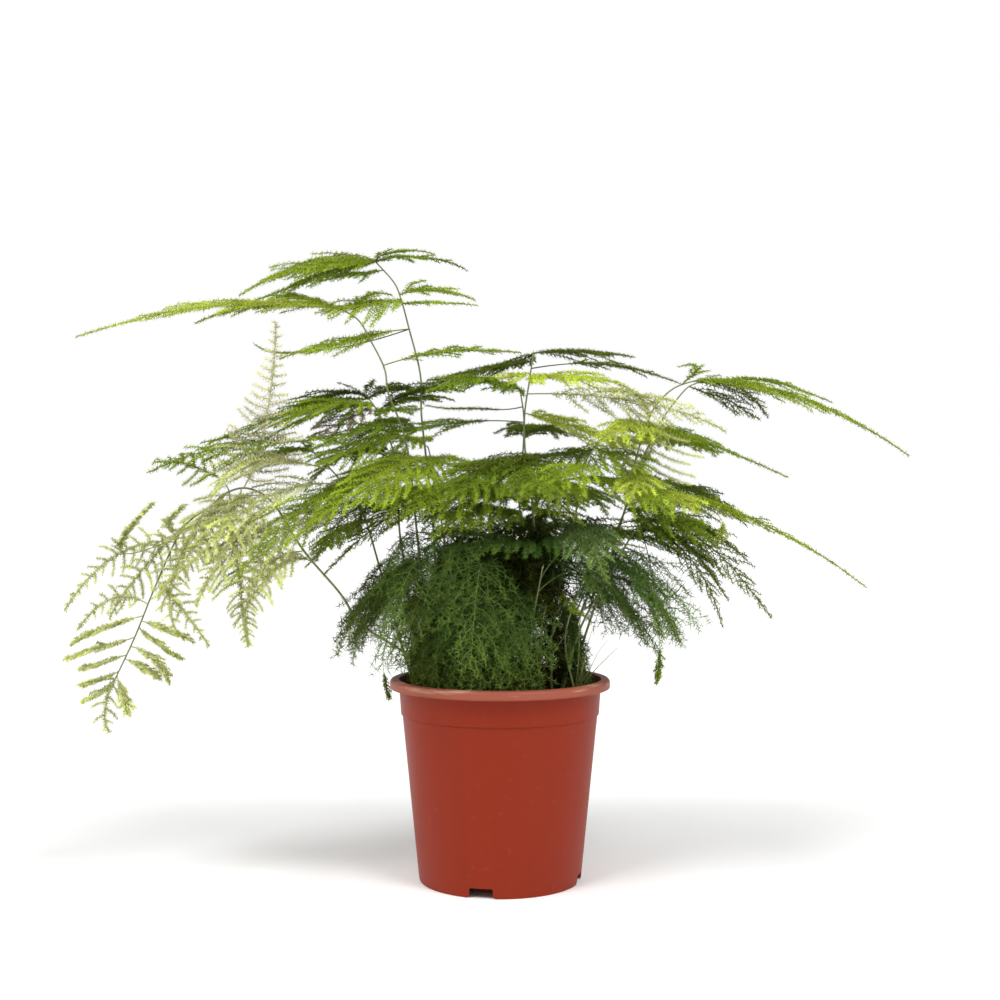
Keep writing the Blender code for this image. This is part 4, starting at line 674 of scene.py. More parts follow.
class NodeTree:
    """A node tree being built, for a material or for Geometry Nodes."""

    def __init__(self, tree: bpy.types.NodeTree) -> None:
        """Take the tree that the nodes go in."""
        self.tree = tree

    def feed(self, socket: Socket, value: Value) -> None:
        """Link or set an input.

        Args:
            socket: The input.
            value: An output socket to link, or a plain value to set.
        """
        if isinstance(value, Socket):
            self.tree.links.new(value, socket)
        else:
            socket.default_value = value

    def plug(self, node: bpy.types.Node, name: str, value: Value) -> None:
        """Link or set one input of a node.

        Args:
            node: The node.
            name: The input's identifier, or else its name.
            value: An output socket to link, or a plain value to set.
        """
        matches = [socket for socket in node.inputs if socket.identifier == name]
        matches += [socket for socket in node.inputs if socket.name == name]
        self.feed(matches[0], value)

    def add(self, kind: str, inputs: Inputs | None = None, **settings: str) -> bpy.types.Node:
        """Add a node.

        Args:
            kind: The node's type.
            inputs: Its inputs, by identifier or name.
            settings: The node's own properties.

        Returns:
            The node.
        """
        node = self.tree.nodes.new(kind)
        for name, value in settings.items():
            setattr(node, name, value)
        for name, value in (inputs or {}).items():
            self.plug(node, name, value)
        return node

    def result(self, kind: str, inputs: Inputs | None = None, **settings: str) -> Socket:
        """The first output of a new node."""
        return self.add(kind, inputs, **settings).outputs[0]

    def worked(self, node: bpy.types.Node, values: tuple[Value, ...]) -> Socket:
        """Give a node its inputs in order.

        Args:
            node: The node.
            values: The inputs.

        Returns:
            Its first output.
        """
        for socket, value in zip(node.inputs, values):
            self.feed(socket, value)
        return node.outputs[0]

    @staticmethod
    def out(node: bpy.types.Node, identifier: str) -> Socket:
        """The output of a node that has an identifier."""
        return next(socket for socket in node.outputs if socket.identifier == identifier)

    def math(self, operation: str, *values: Value) -> Socket:
        """What a Math node makes of its numbers in order."""
        return self.worked(self.add("ShaderNodeMath", operation=operation), values)

    def times(self, first: Value, second: Value) -> Socket:
        """The product of two numbers."""
        return self.math("MULTIPLY", first, second)

    def slope(self, value: Value, steepness: Value, start: Value) -> Socket:
        """A number times a steepness, plus the start."""
        return self.math("MULTIPLY_ADD", value, steepness, start)

    def vector(self, operation: str, *values: Value) -> Socket:
        """What a Vector Math node makes of its vectors in order."""
        return self.worked(self.add("ShaderNodeVectorMath", operation=operation), values)

    def scaled(self, vector: Value, factor: Value) -> Socket:
        """A vector times a number."""
        return self.result("ShaderNodeVectorMath", {"Vector": vector, "Scale": factor}, operation="SCALE")

    def combine(self, x: Value = 0.0, y: Value = 0.0, z: Value = 0.0) -> Socket:
        """A vector from its three parts."""
        return self.result("ShaderNodeCombineXYZ", {"X": x, "Y": y, "Z": z})

    def height(self, vector: Value) -> Socket:
        """The upright part of a vector."""
        return self.add("ShaderNodeSeparateXYZ", {"Vector": vector}).outputs["Z"]

    def mix(self, share: Value, first: Value, second: Value) -> Socket:
        """The colour that lies between two others, at a share of the way to the second."""
        inputs = {"Factor_Float": share, "A_Color": first, "B_Color": second}
        return self.out(self.add("ShaderNodeMix", inputs, data_type="RGBA"), "Result_Color")

    def spread(self, value: Value, source: Pair, target: Pair) -> Socket:
        """A value moved from the source range to the target range."""
        ends = {"From Min": source[0], "From Max": source[1], "To Min": target[0], "To Max": target[1]}
        return self.result("ShaderNodeMapRange", {"Value": value} | ends)


@dataclass(frozen=True)
class Patches:
    """Uneven patches: how fine they are, their finer layers, and how close they lie on each axis."""

    scale: float
    detail: float
    stretch: Point | None = None


class MaterialTree(NodeTree):
    """The nodes of a new material, round its one principled shader."""

    def __init__(self, name: str) -> None:
        """Make the material.

        Args:
            name: The material's name.
        """
        self.material = bpy.data.materials.new(name)
        self.material.use_nodes = True
        super().__init__(self.material.node_tree)
        self.shader = self.tree.nodes["Principled BSDF"]

    def place(self) -> Socket:
        """Where a point lies on its own object."""
        return self.add("ShaderNodeTexCoord").outputs["Object"]

    def attribute(self, name: str, output: str) -> Socket:
        """One output of the node that reads an attribute of the piece."""
        return self.add("ShaderNodeAttribute", attribute_name=name).outputs[output]

    def noise(self, patches: Patches) -> Socket:
        """Spread patches over the object.

        Args:
            patches: What they are like.

        Returns:
            A number for each place, mostly near the middle of nought to one.
        """
        place = self.place()
        if patches.stretch:
            place = self.result("ShaderNodeMapping", {"Vector": place, "Scale": patches.stretch})
        inputs = {"Vector": place, "Scale": patches.scale, "Detail": patches.detail}
        return self.add("ShaderNodeTexNoise", inputs).outputs["Fac"]

    def bump(self, height: Value, depth: Pair) -> None:
        """Raise and lower the surface, by a strength and a distance in metres."""
        inputs = {"Height": height, "Strength": depth[0], "Distance": depth[1]}
        self.plug(self.shader, "Normal", self.result("ShaderNodeBump", inputs))

    def dress(self, colour: Value, roughness: Value, specular: float = 0.5) -> bpy.types.Material:
        """Set the shader's inputs.

        Args:
            colour: The colour.
            roughness: How matt it is.
            specular: How much of the light it mirrors.

        Returns:
            The material.
        """
        self.plug(self.shader, "Base Color", colour)
        self.plug(self.shader, "Roughness", roughness)
        self.plug(self.shader, "Specular IOR Level", specular)
        return self.material


class GeometryTree(NodeTree):
    """A Geometry Nodes tree with a geometry input, named sizes and a geometry output."""

    def __init__(self, name: str, seed: int) -> None:
        """Make the tree.

        Args:
            name: The tree's name.
            seed: The usual seed of its random numbers.
        """
        super().__init__(bpy.data.node_groups.new(name, "GeometryNodeTree"))
        for way in ("INPUT", "OUTPUT"):
            self.tree.interface.new_socket("Geometry", in_out=way, socket_type="NodeSocketGeometry")
        self.start = self.tree.nodes.new("NodeGroupInput")
        self.end = self.tree.nodes.new("NodeGroupOutput")
        self.given = self.start.outputs["Geometry"]
        self.seed = self.size("Seed", seed)

    def size(self, name: str, value: float) -> Socket:
        """Add a number to the tree's inputs.

        Args:
            name: Its name.
            value: Its usual value.

        Returns:
            The socket that gives it.
        """
        kind = "NodeSocketInt" if isinstance(value, int) else "NodeSocketFloat"
        self.tree.interface.new_socket(name, in_out="INPUT", socket_type=kind).default_value = value
        return self.start.outputs[name]

    def attribute(self, name: str, kind: str = "FLOAT") -> Socket:
        """A named attribute as a field."""
        node = self.add("GeometryNodeInputNamedAttribute", {"Name": name}, data_type=kind)
        return node.outputs["Attribute"]

    def store(self, geometry: Socket, name: str, value: Value, kind: str = "FLOAT") -> Socket:
        """The geometry with a named value stored on its points."""
        inputs = {"Geometry": geometry, "Name": name, "Value": value}
        return self.result("GeometryNodeStoreNamedAttribute", inputs, data_type=kind)

    def chance(self, low: Value, high: Value, salt: int) -> Socket:
        """A random number for each point. Its salt sets it apart from the tree's others."""
        inputs = {"Min_001": low, "Max_001": high, "Seed": self.math("ADD", self.seed, float(salt))}
        return self.out(self.add("FunctionNodeRandomValue", inputs, data_type="FLOAT"), "Value_001")

    def chance_vector(self, low: Point, high: Point, salt: int) -> Socket:
        """A random vector for each point, between two corners. Its salt sets it apart."""
        inputs = {"Min": low, "Max": high, "Seed": self.math("ADD", self.seed, float(salt))}
        return self.out(self.add("FunctionNodeRandomValue", inputs, data_type="FLOAT_VECTOR"), "Value")

    def join(self, *parts: Socket) -> Socket:
        """Join geometries.

        Args:
            parts: The geometries.

        Returns:
            All of them as one.
        """
        node = self.tree.nodes.new("GeometryNodeJoinGeometry")
        for part in parts:
            self.tree.links.new(part, node.inputs[0])
        return node.outputs[0]

    def curves(self) -> Socket:
        """The lines that the tree is given, as curves."""
        return self.result("GeometryNodeMeshToCurve", {"Mesh": self.given})

    def marks(self, curve: Socket, spacing: Socket) -> Socket:
        """Points at even spaces along curves."""
        return self.result("GeometryNodeResampleCurve", {"Curve": curve, "Length": spacing}, mode="LENGTH")

    def tubes(self, curve: Socket, radius: Socket, sides: int) -> Socket:
        """Thin round tubes along curves."""
        ring = self.result("GeometryNodeCurvePrimitiveCircle", {"Resolution": sides, "Radius": 1.0})
        inputs = {"Curve": curve, "Profile Curve": ring, "Scale": radius, "Fill Caps": True}
        return self.result("GeometryNodeCurveToMesh", inputs)

    def row(self, count: int, start: Value, step: Value) -> Socket:
        """Points in a row, joined by a line."""
        inputs = {"Count": count, "Start Location": start, "Offset": step}
        return self.result("GeometryNodeMeshLine", inputs, mode="OFFSET")

    def cone(self, sides: int, radius: Value, height: Value) -> Socket:
        """A pointed cone that stands on the origin."""
        inputs = {"Vertices": sides, "Radius Top": 0.0, "Radius Bottom": radius, "Depth": height}
        return self.result("GeometryNodeMeshCone", inputs)

    def aimed(self, axes: str, first: Value, second: Value) -> Socket:
        """The rotation that turns two axes, named by their letters, to the first and near the second."""
        kind, inputs = "FunctionNodeAxesToRotation", {"Primary Axis": first, "Secondary Axis": second}
        return self.result(kind, inputs, primary_axis=axes[0], secondary_axis=axes[1])

    def euler(self, angles: Value) -> Socket:
        """The rotation by three angles."""
        return self.result("FunctionNodeEulerToRotation", {"Euler": angles})

    def planted(
        self, points: Socket, thing: Socket, rotation: Socket, scale: Socket, where: Value = True
    ) -> Socket:
        """Copies of a thing at those points where it is wanted, each turned and scaled."""
        inputs = {"Points": points, "Instance": thing, "Rotation": rotation, "Scale": scale}
        return self.result("GeometryNodeInstanceOnPoints", inputs | {"Selection": where})

    def real(self, geometry: Socket) -> Socket:
        """Copies as geometry of their own."""
        return self.result("GeometryNodeRealizeInstances", {"Geometry": geometry})

    def finish(self, geometry: Socket, material: bpy.types.Material) -> None:
        """Realize what the tree made, give it its material and send it out."""
        inputs = {"Geometry": self.real(geometry), "Material": material}
        self.tree.links.new(self.result("GeometryNodeSetMaterial", inputs), self.end.inputs["Geometry"])


def linked(name: str, mesh: bpy.types.Mesh) -> bpy.types.Object:
    """Put a mesh in the scene.

    Args:
        name: The new object's name.
        mesh: The mesh.

    Returns:
        The object that holds it, at the origin.
    """
    thing = bpy.data.objects.new(name, mesh)
    bpy.context.scene.collection.objects.link(thing)
    return thing


def shaped(name: str, mesh: bmesh.types.BMesh) -> bpy.types.Mesh:
    """Keep a shape as a plain mesh.

    Args:
        name: The new mesh's name.
        mesh: The shape, which is freed.

    Returns:
        The plain mesh.
    """
    made = bpy.data.meshes.new(name)
    mesh.to_mesh(made)
    mesh.free()
    return made


def evaluated(thing: bpy.types.Object) -> bpy.types.Mesh:
    """The plain mesh that an object's modifiers make, with its attributes."""
    graph = bpy.context.evaluated_depsgraph_get()
    return bpy.data.meshes.new_from_object(
        thing.evaluated_get(graph), preserve_all_data_layers=True, depsgraph=graph
    )


def grown(name: str, mesh: bpy.types.Mesh, tree: GeometryTree, sizes: Inputs) -> bpy.types.Object:
    """Run a Geometry Nodes tree on a mesh and keep the result as a plain mesh.

    Args:
        name: The new object's name.
        mesh: The mesh that the tree starts from.
        tree: The tree.
        sizes: Values for the tree's named inputs.

    Returns:
        The object with the finished mesh, without a modifier.
    """
    seedling = linked(name + "_start", mesh)
    modifier = seedling.modifiers.new("growth", "NODES")
    modifier.node_group = tree.tree
    for item in tree.tree.interface.items_tree:
        if item.item_type == "SOCKET" and item.in_out == "INPUT" and item.name in sizes:
            modifier[item.identifier] = sizes[item.name]
    made = evaluated(seedling)
    made.name = name
    bpy.data.objects.remove(seedling, do_unlink=True)
    return linked(name, made)


def merged(name: str, things: list[bpy.types.Object]) -> bpy.types.Object:
    """Join objects into the first, with their materials and attributes.

    Args:
        name: The joined object's name.
        things: The objects.

    Returns:
        The joined object.
    """
    first = things[0]
    if len(things) > 1:
        with bpy.context.temp_override(
            active_object=first, object=first, selected_objects=things, selected_editable_objects=things
        ):
            bpy.ops.object.join()
    first.name = name
    first.data.name = name
    return first


@dataclass(frozen=True)
class Greenery:
    """The finish of needles and twigs: tinted by spray, uneven, and lit through."""

    roughness: float = 0.6
    specular: float = 0.15
    translucence: float = 0.38
    patches: Patches = Patches(26.0, 3.0)
    levels: Pair = (0.82, 1.16)
    name: str = "needle_green"

    def material(self) -> bpy.types.Material:
        """Build the material.

        Returns:
            A material that reads the piece's own tint and freshness.
        """
        nodes = MaterialTree(self.name)
        level = nodes.spread(nodes.noise(self.patches), NOISE_RANGE, self.levels)
        strength = nodes.times(level, nodes.attribute("fresh", "Fac"))
        colour = nodes.scaled(nodes.attribute("tint", "Vector"), strength)
        through = nodes.result("ShaderNodeBsdfTranslucent", {"Color": colour})
        surfaces = {"Shader": nodes.shader.outputs[0], "Shader_001": through}
        both = nodes.result("ShaderNodeMixShader", {"Fac": self.translucence} | surfaces)
        nodes.plug(nodes.tree.nodes["Material Output"], "Surface", both)
        return nodes.dress(colour, self.roughness, self.specular)


@dataclass(frozen=True)
class StemSkin:
    """The finish of a wiry stem: smooth, streaked along its length, pale near the soil."""

    roughness: float = 0.42
    streaks: Patches = Patches(420.0, 2.0, (1.0, 1.0, 0.12))
    levels: Pair = (0.72, 1.2)
    depth: Pair = (0.25, 0.0002)
    name: str = "stem_skin"

    def material(self) -> bpy.types.Material:
        """Build the material.

        Returns:
            A material that reads the piece's own tint.
        """
        nodes = MaterialTree(self.name)
        streaks = nodes.noise(self.streaks)
        level = nodes.spread(streaks, NOISE_RANGE, self.levels)
        nodes.bump(streaks, self.depth)
        return nodes.dress(nodes.scaled(nodes.attribute("tint", "Vector"), level), self.roughness)


@dataclass(frozen=True)
class MouldedPlastic:
    """The pot's finish: red-brown satin plastic with fine pores and some dust; its lip is painted paler and
    streaked pale, as painted highlights.
    """

    colour: Colour = shade(139, 42, 17)
    inner_shade: Colour = shade(130, 37, 13)
    dust: Colour = shade(160, 88, 62)
    lip_highlight: Colour = shade(168, 110, 90)
    highlight_streak: Colour = shade(222, 190, 164)
    lip: Pair = (0.1475, 0.1495)
    roughness: Pair = (0.4, 0.5)
    specular: float = 0.16
    clouds: Patches = Patches(16.0, 4.0, (1.0, 1.0, 0.25))
    specks: Patches = Patches(240.0, 6.0)
    speck_range: Pair = (0.62, 0.8)
    dustiness: Pair = (0.0, 0.25)
    lip_highlight_share: float = 0.48
    glints: Patches = Patches(50.0, 4.0, (0.6, 0.6, 5.0))
    glint_range: Pair = (0.55, 0.75)
    glint_strength: Pair = (0.0, 0.5)
    pores: Patches = Patches(1400.0, 2.0)
    depth: Pair = (0.12, 0.0003)
    name: str = "pot_plastic"

    def material(self) -> bpy.types.Material:
        """Build the material.

        Returns:
            The pot's material.
        """
        nodes = MaterialTree(self.name)
        clouds = nodes.noise(self.clouds)
        mottled = nodes.mix(clouds, self.inner_shade, self.colour)
        dusty = nodes.spread(nodes.noise(self.specks), self.speck_range, self.dustiness)
        dusted = nodes.mix(dusty, mottled, self.dust)
        on_lip = nodes.spread(nodes.height(nodes.place()), self.lip, (0.0, 1.0))
        # painted highlight: above its height the lip is mixed towards a paler colour
        lip_lit = nodes.mix(nodes.times(on_lip, self.lip_highlight_share), dusted, self.lip_highlight)
        # painted highlights: pale streaks stretched along the lip
        glints = nodes.spread(nodes.noise(self.glints), self.glint_range, self.glint_strength)
        colour = nodes.mix(nodes.times(glints, on_lip), lip_lit, self.highlight_streak)
        nodes.bump(nodes.noise(self.pores), self.depth)
        return nodes.dress(colour, nodes.spread(clouds, NOISE_RANGE, self.roughness), self.specular)


@dataclass(frozen=True)
class Peat:
    """The soil's finish: dark peat with lighter bark and dry crumbs."""

    wet: Colour = shade(46, 30, 22)
    dry: Colour = shade(104, 74, 54)
    roughness: float = 0.95
    grains: Patches = Patches(190.0, 8.0)
    grain_range: Pair = (0.38, 0.68)
    depth: Pair = (0.6, 0.0015)
    name: str = "potting_soil"

    def material(self) -> bpy.types.Material:
        """Build the material.

        Returns:
            The soil's material.
        """
        nodes = MaterialTree(self.name)
        grains = nodes.noise(self.grains)
        level = nodes.spread(grains, self.grain_range, (0.0, 1.0))
        nodes.bump(grains, self.depth)
        return nodes.dress(nodes.mix(level, self.wet, self.dry), self.roughness)


@dataclass(frozen=True)
class PaleFloor:
    """The studio floor's finish: matt and nearly white."""

    colour: Colour = shade(246, 246, 245)
    roughness: float = 0.8
    name: str = "pale_floor"

    def material(self) -> bpy.types.Material:
        """Build the floor's material."""
        return MaterialTree(self.name).dress(self.colour, self.roughness)


@dataclass
class Skeleton:
    """Lines that foliage grows along, with what each of their points tells the nodes."""

    points: list[Point] = field(default_factory=list)
    edges: list[tuple[int, int]] = field(default_factory=list)
    thickness: list[float] = field(default_factory=list)
    reach: list[float] = field(default_factory=list)
    facing: list[Point] = field(default_factory=list)
    tint: list[Point] = field(default_factory=list)
    bark: list[Point] = field(default_factory=list)
    bark_share: float = 0.4

    def line(
        self,
        points: list[Vector],
        thickness: list[float],
        reach: list[float],
        facing: Point,
        tints: list[Vector],
        wood: Tone = Tone.BARK,
    ) -> None:
        """Add one line.

        Args:
            points: Its points, in metres.
            thickness: The radius at each point, in metres.
            reach: The length of the branchlets at each point, in metres.
            facing: The direction that the spray's flat side looks in.
            tints: The colour at each point.
            wood: The tone that its ribs and branchlets lean to.
        """
        first = len(self.points)
        self.points += [tuple(point) for point in points]
        self.edges += [(first + index, first + index + 1) for index in range(len(points) - 1)]
        self.thickness += thickness
        self.reach += reach
        self.facing += [tuple(Vector(facing).normalized())] * len(points)
        self.tint += [tuple(tint) for tint in tints]
        self.bark += [tuple(tint.lerp(wood.tint(), self.bark_share)) for tint in tints]

    def mesh(self, name: str) -> bpy.types.Mesh:
        """Make a mesh of the lines.

        Args:
            name: The mesh's name.

        Returns:
            A mesh of edges with attributes.
        """
        made = bpy.data.meshes.new(name)
        made.from_pydata(self.points, self.edges, [])
        lively = [1.0] * len(self.points)
        for title, values in (("thickness", self.thickness), ("reach", self.reach), ("lively", lively)):
            made.attributes.new(title, "FLOAT", "POINT").data.foreach_set("value", values)
        for title, values in (("facing", self.facing), ("tint", self.tint), ("bark", self.bark)):
            flat = np.array(values, dtype=np.float32).ravel()
            made.attributes.new(title, "FLOAT_VECTOR", "POINT").data.foreach_set("vector", flat)
        return made


class StemTree(GeometryTree):
    """Round stems along a skeleton's lines, with a papery scale at every joint."""

    SIDES = 8
    LEANS = ((-0.25, -0.25, 0.0), (0.25, 0.25, 0.2))
    SCALE_SIDES = 6
    SCALE_BASE = 0.38
    SCALE_GIRTH = 3.4
    PALER = (0.18, 0.16, 0.10)

    def __init__(self, skin: bpy.types.Material) -> None:
        """Lay out the nodes.

        Args:
            skin: The stems' material.
        """
        super().__init__("round_stems", 3)
        curve = self.curves()
        thickness = self.attribute("thickness")
        tube = self.tubes(curve, thickness, self.SIDES)
        joints = self.marks(curve, self.size("Joint Spacing", 0.027))
        tangent = self.result("GeometryNodeInputTangent")
        lean = self.vector("ADD", tangent, self.chance_vector(*self.LEANS, 1))
        girth = self.times(thickness, self.SCALE_GIRTH)
        shape = self.combine(girth, girth, self.size("Scale Length", 0.0034))
        bract = self.cone(self.SCALE_SIDES, self.SCALE_BASE, 1.0)
        scales = self.real(self.planted(joints, bract, self.aimed("ZX", lean, (1.0, 0.0, 0.0)), shape))
        tint = self.vector("ADD", self.attribute("tint", "FLOAT_VECTOR"), self.PALER)
        self.finish(self.join(tube, self.store(scales, "tint", tint, "FLOAT_VECTOR")), skin)


@dataclass(frozen=True)
class TwigKind:
    """A twig's pattern: the lengths that it serves, its pairs of needles and its own length.

    Lengths are in millimetres. One without pairs is a tuft.
    """

    shortest: float
    longest: float
    pairs: int
    length: float


class SprayTree(GeometryTree):
    """Branchlets on both sides of each rib, with short twigs of paired needles along them.

    Of a constant with two numbers, the first is a steepness and the second the start, or they are
    the ends of a random range. Lengths are in metres and angles in radians.
    """

    RIB_SIDES = 4
    BRANCHLET_SIDES = 3
    BRANCHLET_TAPER = (-0.6, 1.0)
    WOOD_FRESHNESS = 0.95
    RIB_TWIG = (0.05, 0.0022)
    RIB_ALONG = 0.35
    BRANCHLET_LENGTH = (0.7, 1.12)
    LIVELY = (0.8, 1.2)
    LEAST_REACH = 0.0012
    BOW_STEPS = 3
    BOW = {"Start": (0.0, 0.0, 0.0), "Middle": (0.5, 0.10, 0.03), "End": (1.0, -0.12, 0.0)}
    TWIG_TAPER = (-0.75, 1.0)
    LEAST_TWIG = 0.0019
    NEEDLE_BEND = 1.2
    TUFT = ((0.4, 0.0, 0.55), (-0.4, 0.0, -0.55))
    TWIG_START = 0.35
    TWIG_ROLL = (1.3, -0.65)
    TWIG_YAW = (0.9, -0.45)
    TWIG_SHRINK = -0.28
    TWIG_POINT = 0.5
    TWIG_GIRTH = 0.8
    TWIG_ANGLE = (-0.45, 1.0)
    TWIG_SWEEP = (0.7, 1.05)
    TWIG_LIFT = (-0.3, 0.3)
    BRIGHTNESS = (0.86, 1.14)
    BRIGHTER_TIPS = (0.3, 0.86)
    TWIG_LENGTH = (0.8, 1.2)
    LEAFY_REACH = 0.0005
    EDGE = 1e-9
    KINDS = (
        TwigKind(0.0, 3.1, 0, 2.4),
        TwigKind(3.1, 5.0, 2, 3.6),
        TwigKind(5.0, 7.2, 3, 5.6),
        TwigKind(7.2, 99.0, 5, 8.4),
    )

    def __init__(self, greenery: bpy.types.Material) -> None:
        """Lay out the nodes.

        Args:
            greenery: The material of ribs, branchlets and needles.
        """
        super().__init__("leafy_sprays", 1)
        self.spacing = self.size("Branchlet Spacing", 0.0034)
        self.sweep = self.size("Sweep", 0.8)
        self.scatter = self.size("Scatter", 0.15)
        self.droop = self.size("Droop", 4.0)
        self.axis_radius = self.size("Branchlet Radius", 0.00026)
        self.twig_spacing = self.size("Twig Spacing", 0.0022)
        self.twig_share = self.size("Twig Share", 0.2)
        self.twig_most = self.size("Longest Twig", 0.008)
        self.needle_length = self.size("Needle Length", 0.0034)
        self.needle_width = self.size("Needle Width", 0.0003)
        self.spin = self.size("Spin", 0.6)
        ribs = self.curves()
        rib_tubes = self.tubes(ribs, self.attribute("thickness"), self.RIB_SIDES)
        branchlets = self.branchlets(ribs)
        taper = self.slope(self.attribute("along"), *self.BRANCHLET_TAPER)
        axis_tubes = self.tubes(branchlets, self.times(taper, self.axis_radius), self.BRANCHLET_SIDES)
        twigs = self.twigs(self.join(self.leafy_ribs(ribs), branchlets))
        self.finish(self.join(self.woody(self.join(rib_tubes, axis_tubes)), twigs), greenery)

    def woody(self, tubes: Socket) -> Socket:
        """Tubes with the browner tint of wood."""
        tinted = self.store(tubes, "tint", self.attribute("bark", "FLOAT_VECTOR"), "FLOAT_VECTOR")
        return self.store(tinted, "fresh", self.WOOD_FRESHNESS)

    def leafy_ribs(self, ribs: Socket) -> Socket:
        """The ribs as carriers of short twigs of their own."""
        length = self.slope(self.attribute("reach"), *self.RIB_TWIG)
        return self.store(self.store(ribs, "twig", length), "along", self.RIB_ALONG)

    def heading(self, tangent: Socket, facing: Socket, side: Socket, angle: Socket, lift: Socket) -> Socket:
        """A direction that leaves a tangent sideways in the spray's plane.

        Args:
            tangent: The direction of what it leaves.
            facing: The direction that the spray's flat side looks in.
            side: Plus or minus one, for the left or the right.
            angle: The angle from the tangent, in radians.
            lift: How far it rises out of the plane.

        Returns:
            The direction.
        """
        across = self.vector("NORMALIZE", self.vector("CROSS_PRODUCT", facing, tangent))
        forwards = self.scaled(tangent, self.math("COSINE", angle))
        sideways = self.scaled(across, self.times(self.math("SINE", angle), side))
        flat = self.vector("ADD", forwards, sideways)
        return self.vector("ADD", flat, self.scaled(facing, lift))

    def either_side(self) -> Socket:
        """Plus and minus one in turn, from point to point."""
        index = self.result("GeometryNodeInputIndex")
        return self.slope(self.math("MODULO", index, 2.0), 2.0, -1.0)

    def branchlets(self, ribs: Socket) -> Socket:
        """Bowed branchlets on alternate sides of the ribs.

        Args:
            ribs: The ribs' curves.

        Returns:
            The branchlets' curves, with how far along each point lies and how long its twigs are.
        """
        marks = self.store(self.marks(ribs, self.spacing), "lively", self.chance(*self.LIVELY, 7))
        tangent = self.result("GeometryNodeInputTangent")
        facing = self.attribute("facing", "FLOAT_VECTOR")
        side = self.either_side()
        less = self.times(self.scatter, -1.0)
        angle = self.math("ADD", self.sweep, self.chance(less, self.scatter, 1))
        lift = self.chance(less, self.scatter, 2)
        direction = self.heading(tangent, facing, side, angle, lift)
        reach = self.attribute("reach")
        length = self.times(reach, self.chance(*self.BRANCHLET_LENGTH, 3))
        shape = self.combine(length, self.times(length, side), length)
        bow = self.result("GeometryNodeCurveQuadraticBezier", {"Resolution": self.BOW_STEPS} | self.BOW)
        wide = self.math("GREATER_THAN", reach, self.LEAST_REACH)
        straight = self.real(self.planted(marks, bow, self.aimed("XZ", direction, facing), shape, wide))
        run = self.add("GeometryNodeSplineParameter").outputs
        sag = self.times(self.math("POWER", run["Length"], 2.0), self.droop)
        inputs = {"Geometry": straight, "Offset": self.combine(z=self.times(sag, -1.0))}
        hanging = self.result("GeometryNodeSetPosition", inputs)
        whole = self.add("GeometryNodeSplineLength").outputs["Length"]
        base = self.math("MINIMUM", self.times(whole, self.twig_share), self.twig_most)
        twig = self.slope(base, self.slope(run["Factor"], *self.TWIG_TAPER), self.LEAST_TWIG)
        return self.store(self.store(hanging, "twig", twig), "along", run["Factor"])

    def double_needle(self) -> Socket:
        """A needle on either side of one place.

        Returns:
            Their mesh, in four faces.
        """
        length, width = self.needle_length, self.needle_width
        corner = self.combine(self.times(width, self.NEEDLE_BEND), self.times(length, -1.0))
        tips = self.row(2, corner, self.combine(y=self.times(length, 2.0)))
        below = self.combine(z=self.times(width, -1.0))
        middle = self.row(2, below, self.combine(z=self.times(width, 2.0)))
        return self.result("GeometryNodeConvexHull", {"Geometry": self.join(tips, middle)})

    def tuft(self) -> Socket:
        """Four needles from one place, as two double needles that cross."""
        return self.join(*(self.tipped(self.double_needle(), turn) for turn in self.TUFT))

    def tipped(self, geometry: Socket, turn: Point) -> Socket:
        """Geometry turned about the origin."""
        return self.result("GeometryNodeTransform", {"Geometry": geometry, "Rotation": turn})

    def twig(self, pairs: int, length: float) -> Socket:
        """One short twig along +X.

        Args:
            pairs: How many pairs of needles it carries.
            length: Its length in metres.

        Returns:
            The twig's mesh.
        """
        step = length / pairs
        row = self.row(pairs, (self.TWIG_START * step, 0.0, 0.0), (step, 0.0, 0.0))
        index = self.result("GeometryNodeInputIndex")
        turn = self.math("MODULO", index, 2.0)
        roll, yaw = (self.slope(turn, *angles) for angles in (self.TWIG_ROLL, self.TWIG_YAW))
        rotation = self.euler(self.combine(roll, z=yaw))
        size = self.slope(index, self.TWIG_SHRINK / pairs, 1.0)
        whorls = self.planted(row, self.double_needle(), rotation, size)
        end = self.math("ADD", length, self.times(self.needle_length, self.TWIG_POINT))
        spike = self.cone(3, self.times(self.needle_width, self.TWIG_GIRTH), end)
        return self.real(self.join(whorls, self.tipped(spike, (0.0, math.radians(90.0), 0.0))))

    def twigs(self, leafy: Socket) -> Socket:
        """Twigs on alternate sides of curves, in several lengths.

        Args:
            leafy: The curves that carry twigs.

        Returns:
            The twigs' mesh, each with its freshness.
        """
        inputs = {"Curve": leafy, "Length": self.twig_spacing}
        marks = self.add("GeometryNodeCurveToPoints", inputs, mode="LENGTH").outputs
        facing = self.attribute("facing", "FLOAT_VECTOR")
        along = self.attribute("along")
        angle = self.times(self.slope(along, *self.TWIG_ANGLE), self.chance(*self.TWIG_SWEEP, 4))
        lift = self.chance(*self.TWIG_LIFT, 5)
        direction = self.heading(marks["Tangent"], facing, self.either_side(), angle, lift)
        turn = self.chance(self.times(self.spin, -1.0), self.spin, 6)
        inputs = {"Axis": (1.0, 0.0, 0.0), "Angle": turn}
        twist = self.result("FunctionNodeAxisAngleToRotation", inputs)
        inputs = {"Rotation": self.aimed("XZ", direction, facing), "Rotate By": twist}
        spun = self.result("FunctionNodeRotateRotation", inputs, rotation_space="LOCAL")
        bright = self.times(self.chance(*self.BRIGHTNESS, 8), self.attribute("lively"))
        fresh = self.times(bright, self.slope(along, *self.BRIGHTER_TIPS))
        points = self.store(marks["Points"], "fresh", fresh)
        wanted = self.times(self.attribute("twig"), self.chance(*self.TWIG_LENGTH, 9))
        leafy_part = self.math("GREATER_THAN", self.attribute("reach"), self.LEAFY_REACH)
        kinds = []
        for kind in self.KINDS:
            above = self.math("GREATER_THAN", wanted, kind.shortest * MM)
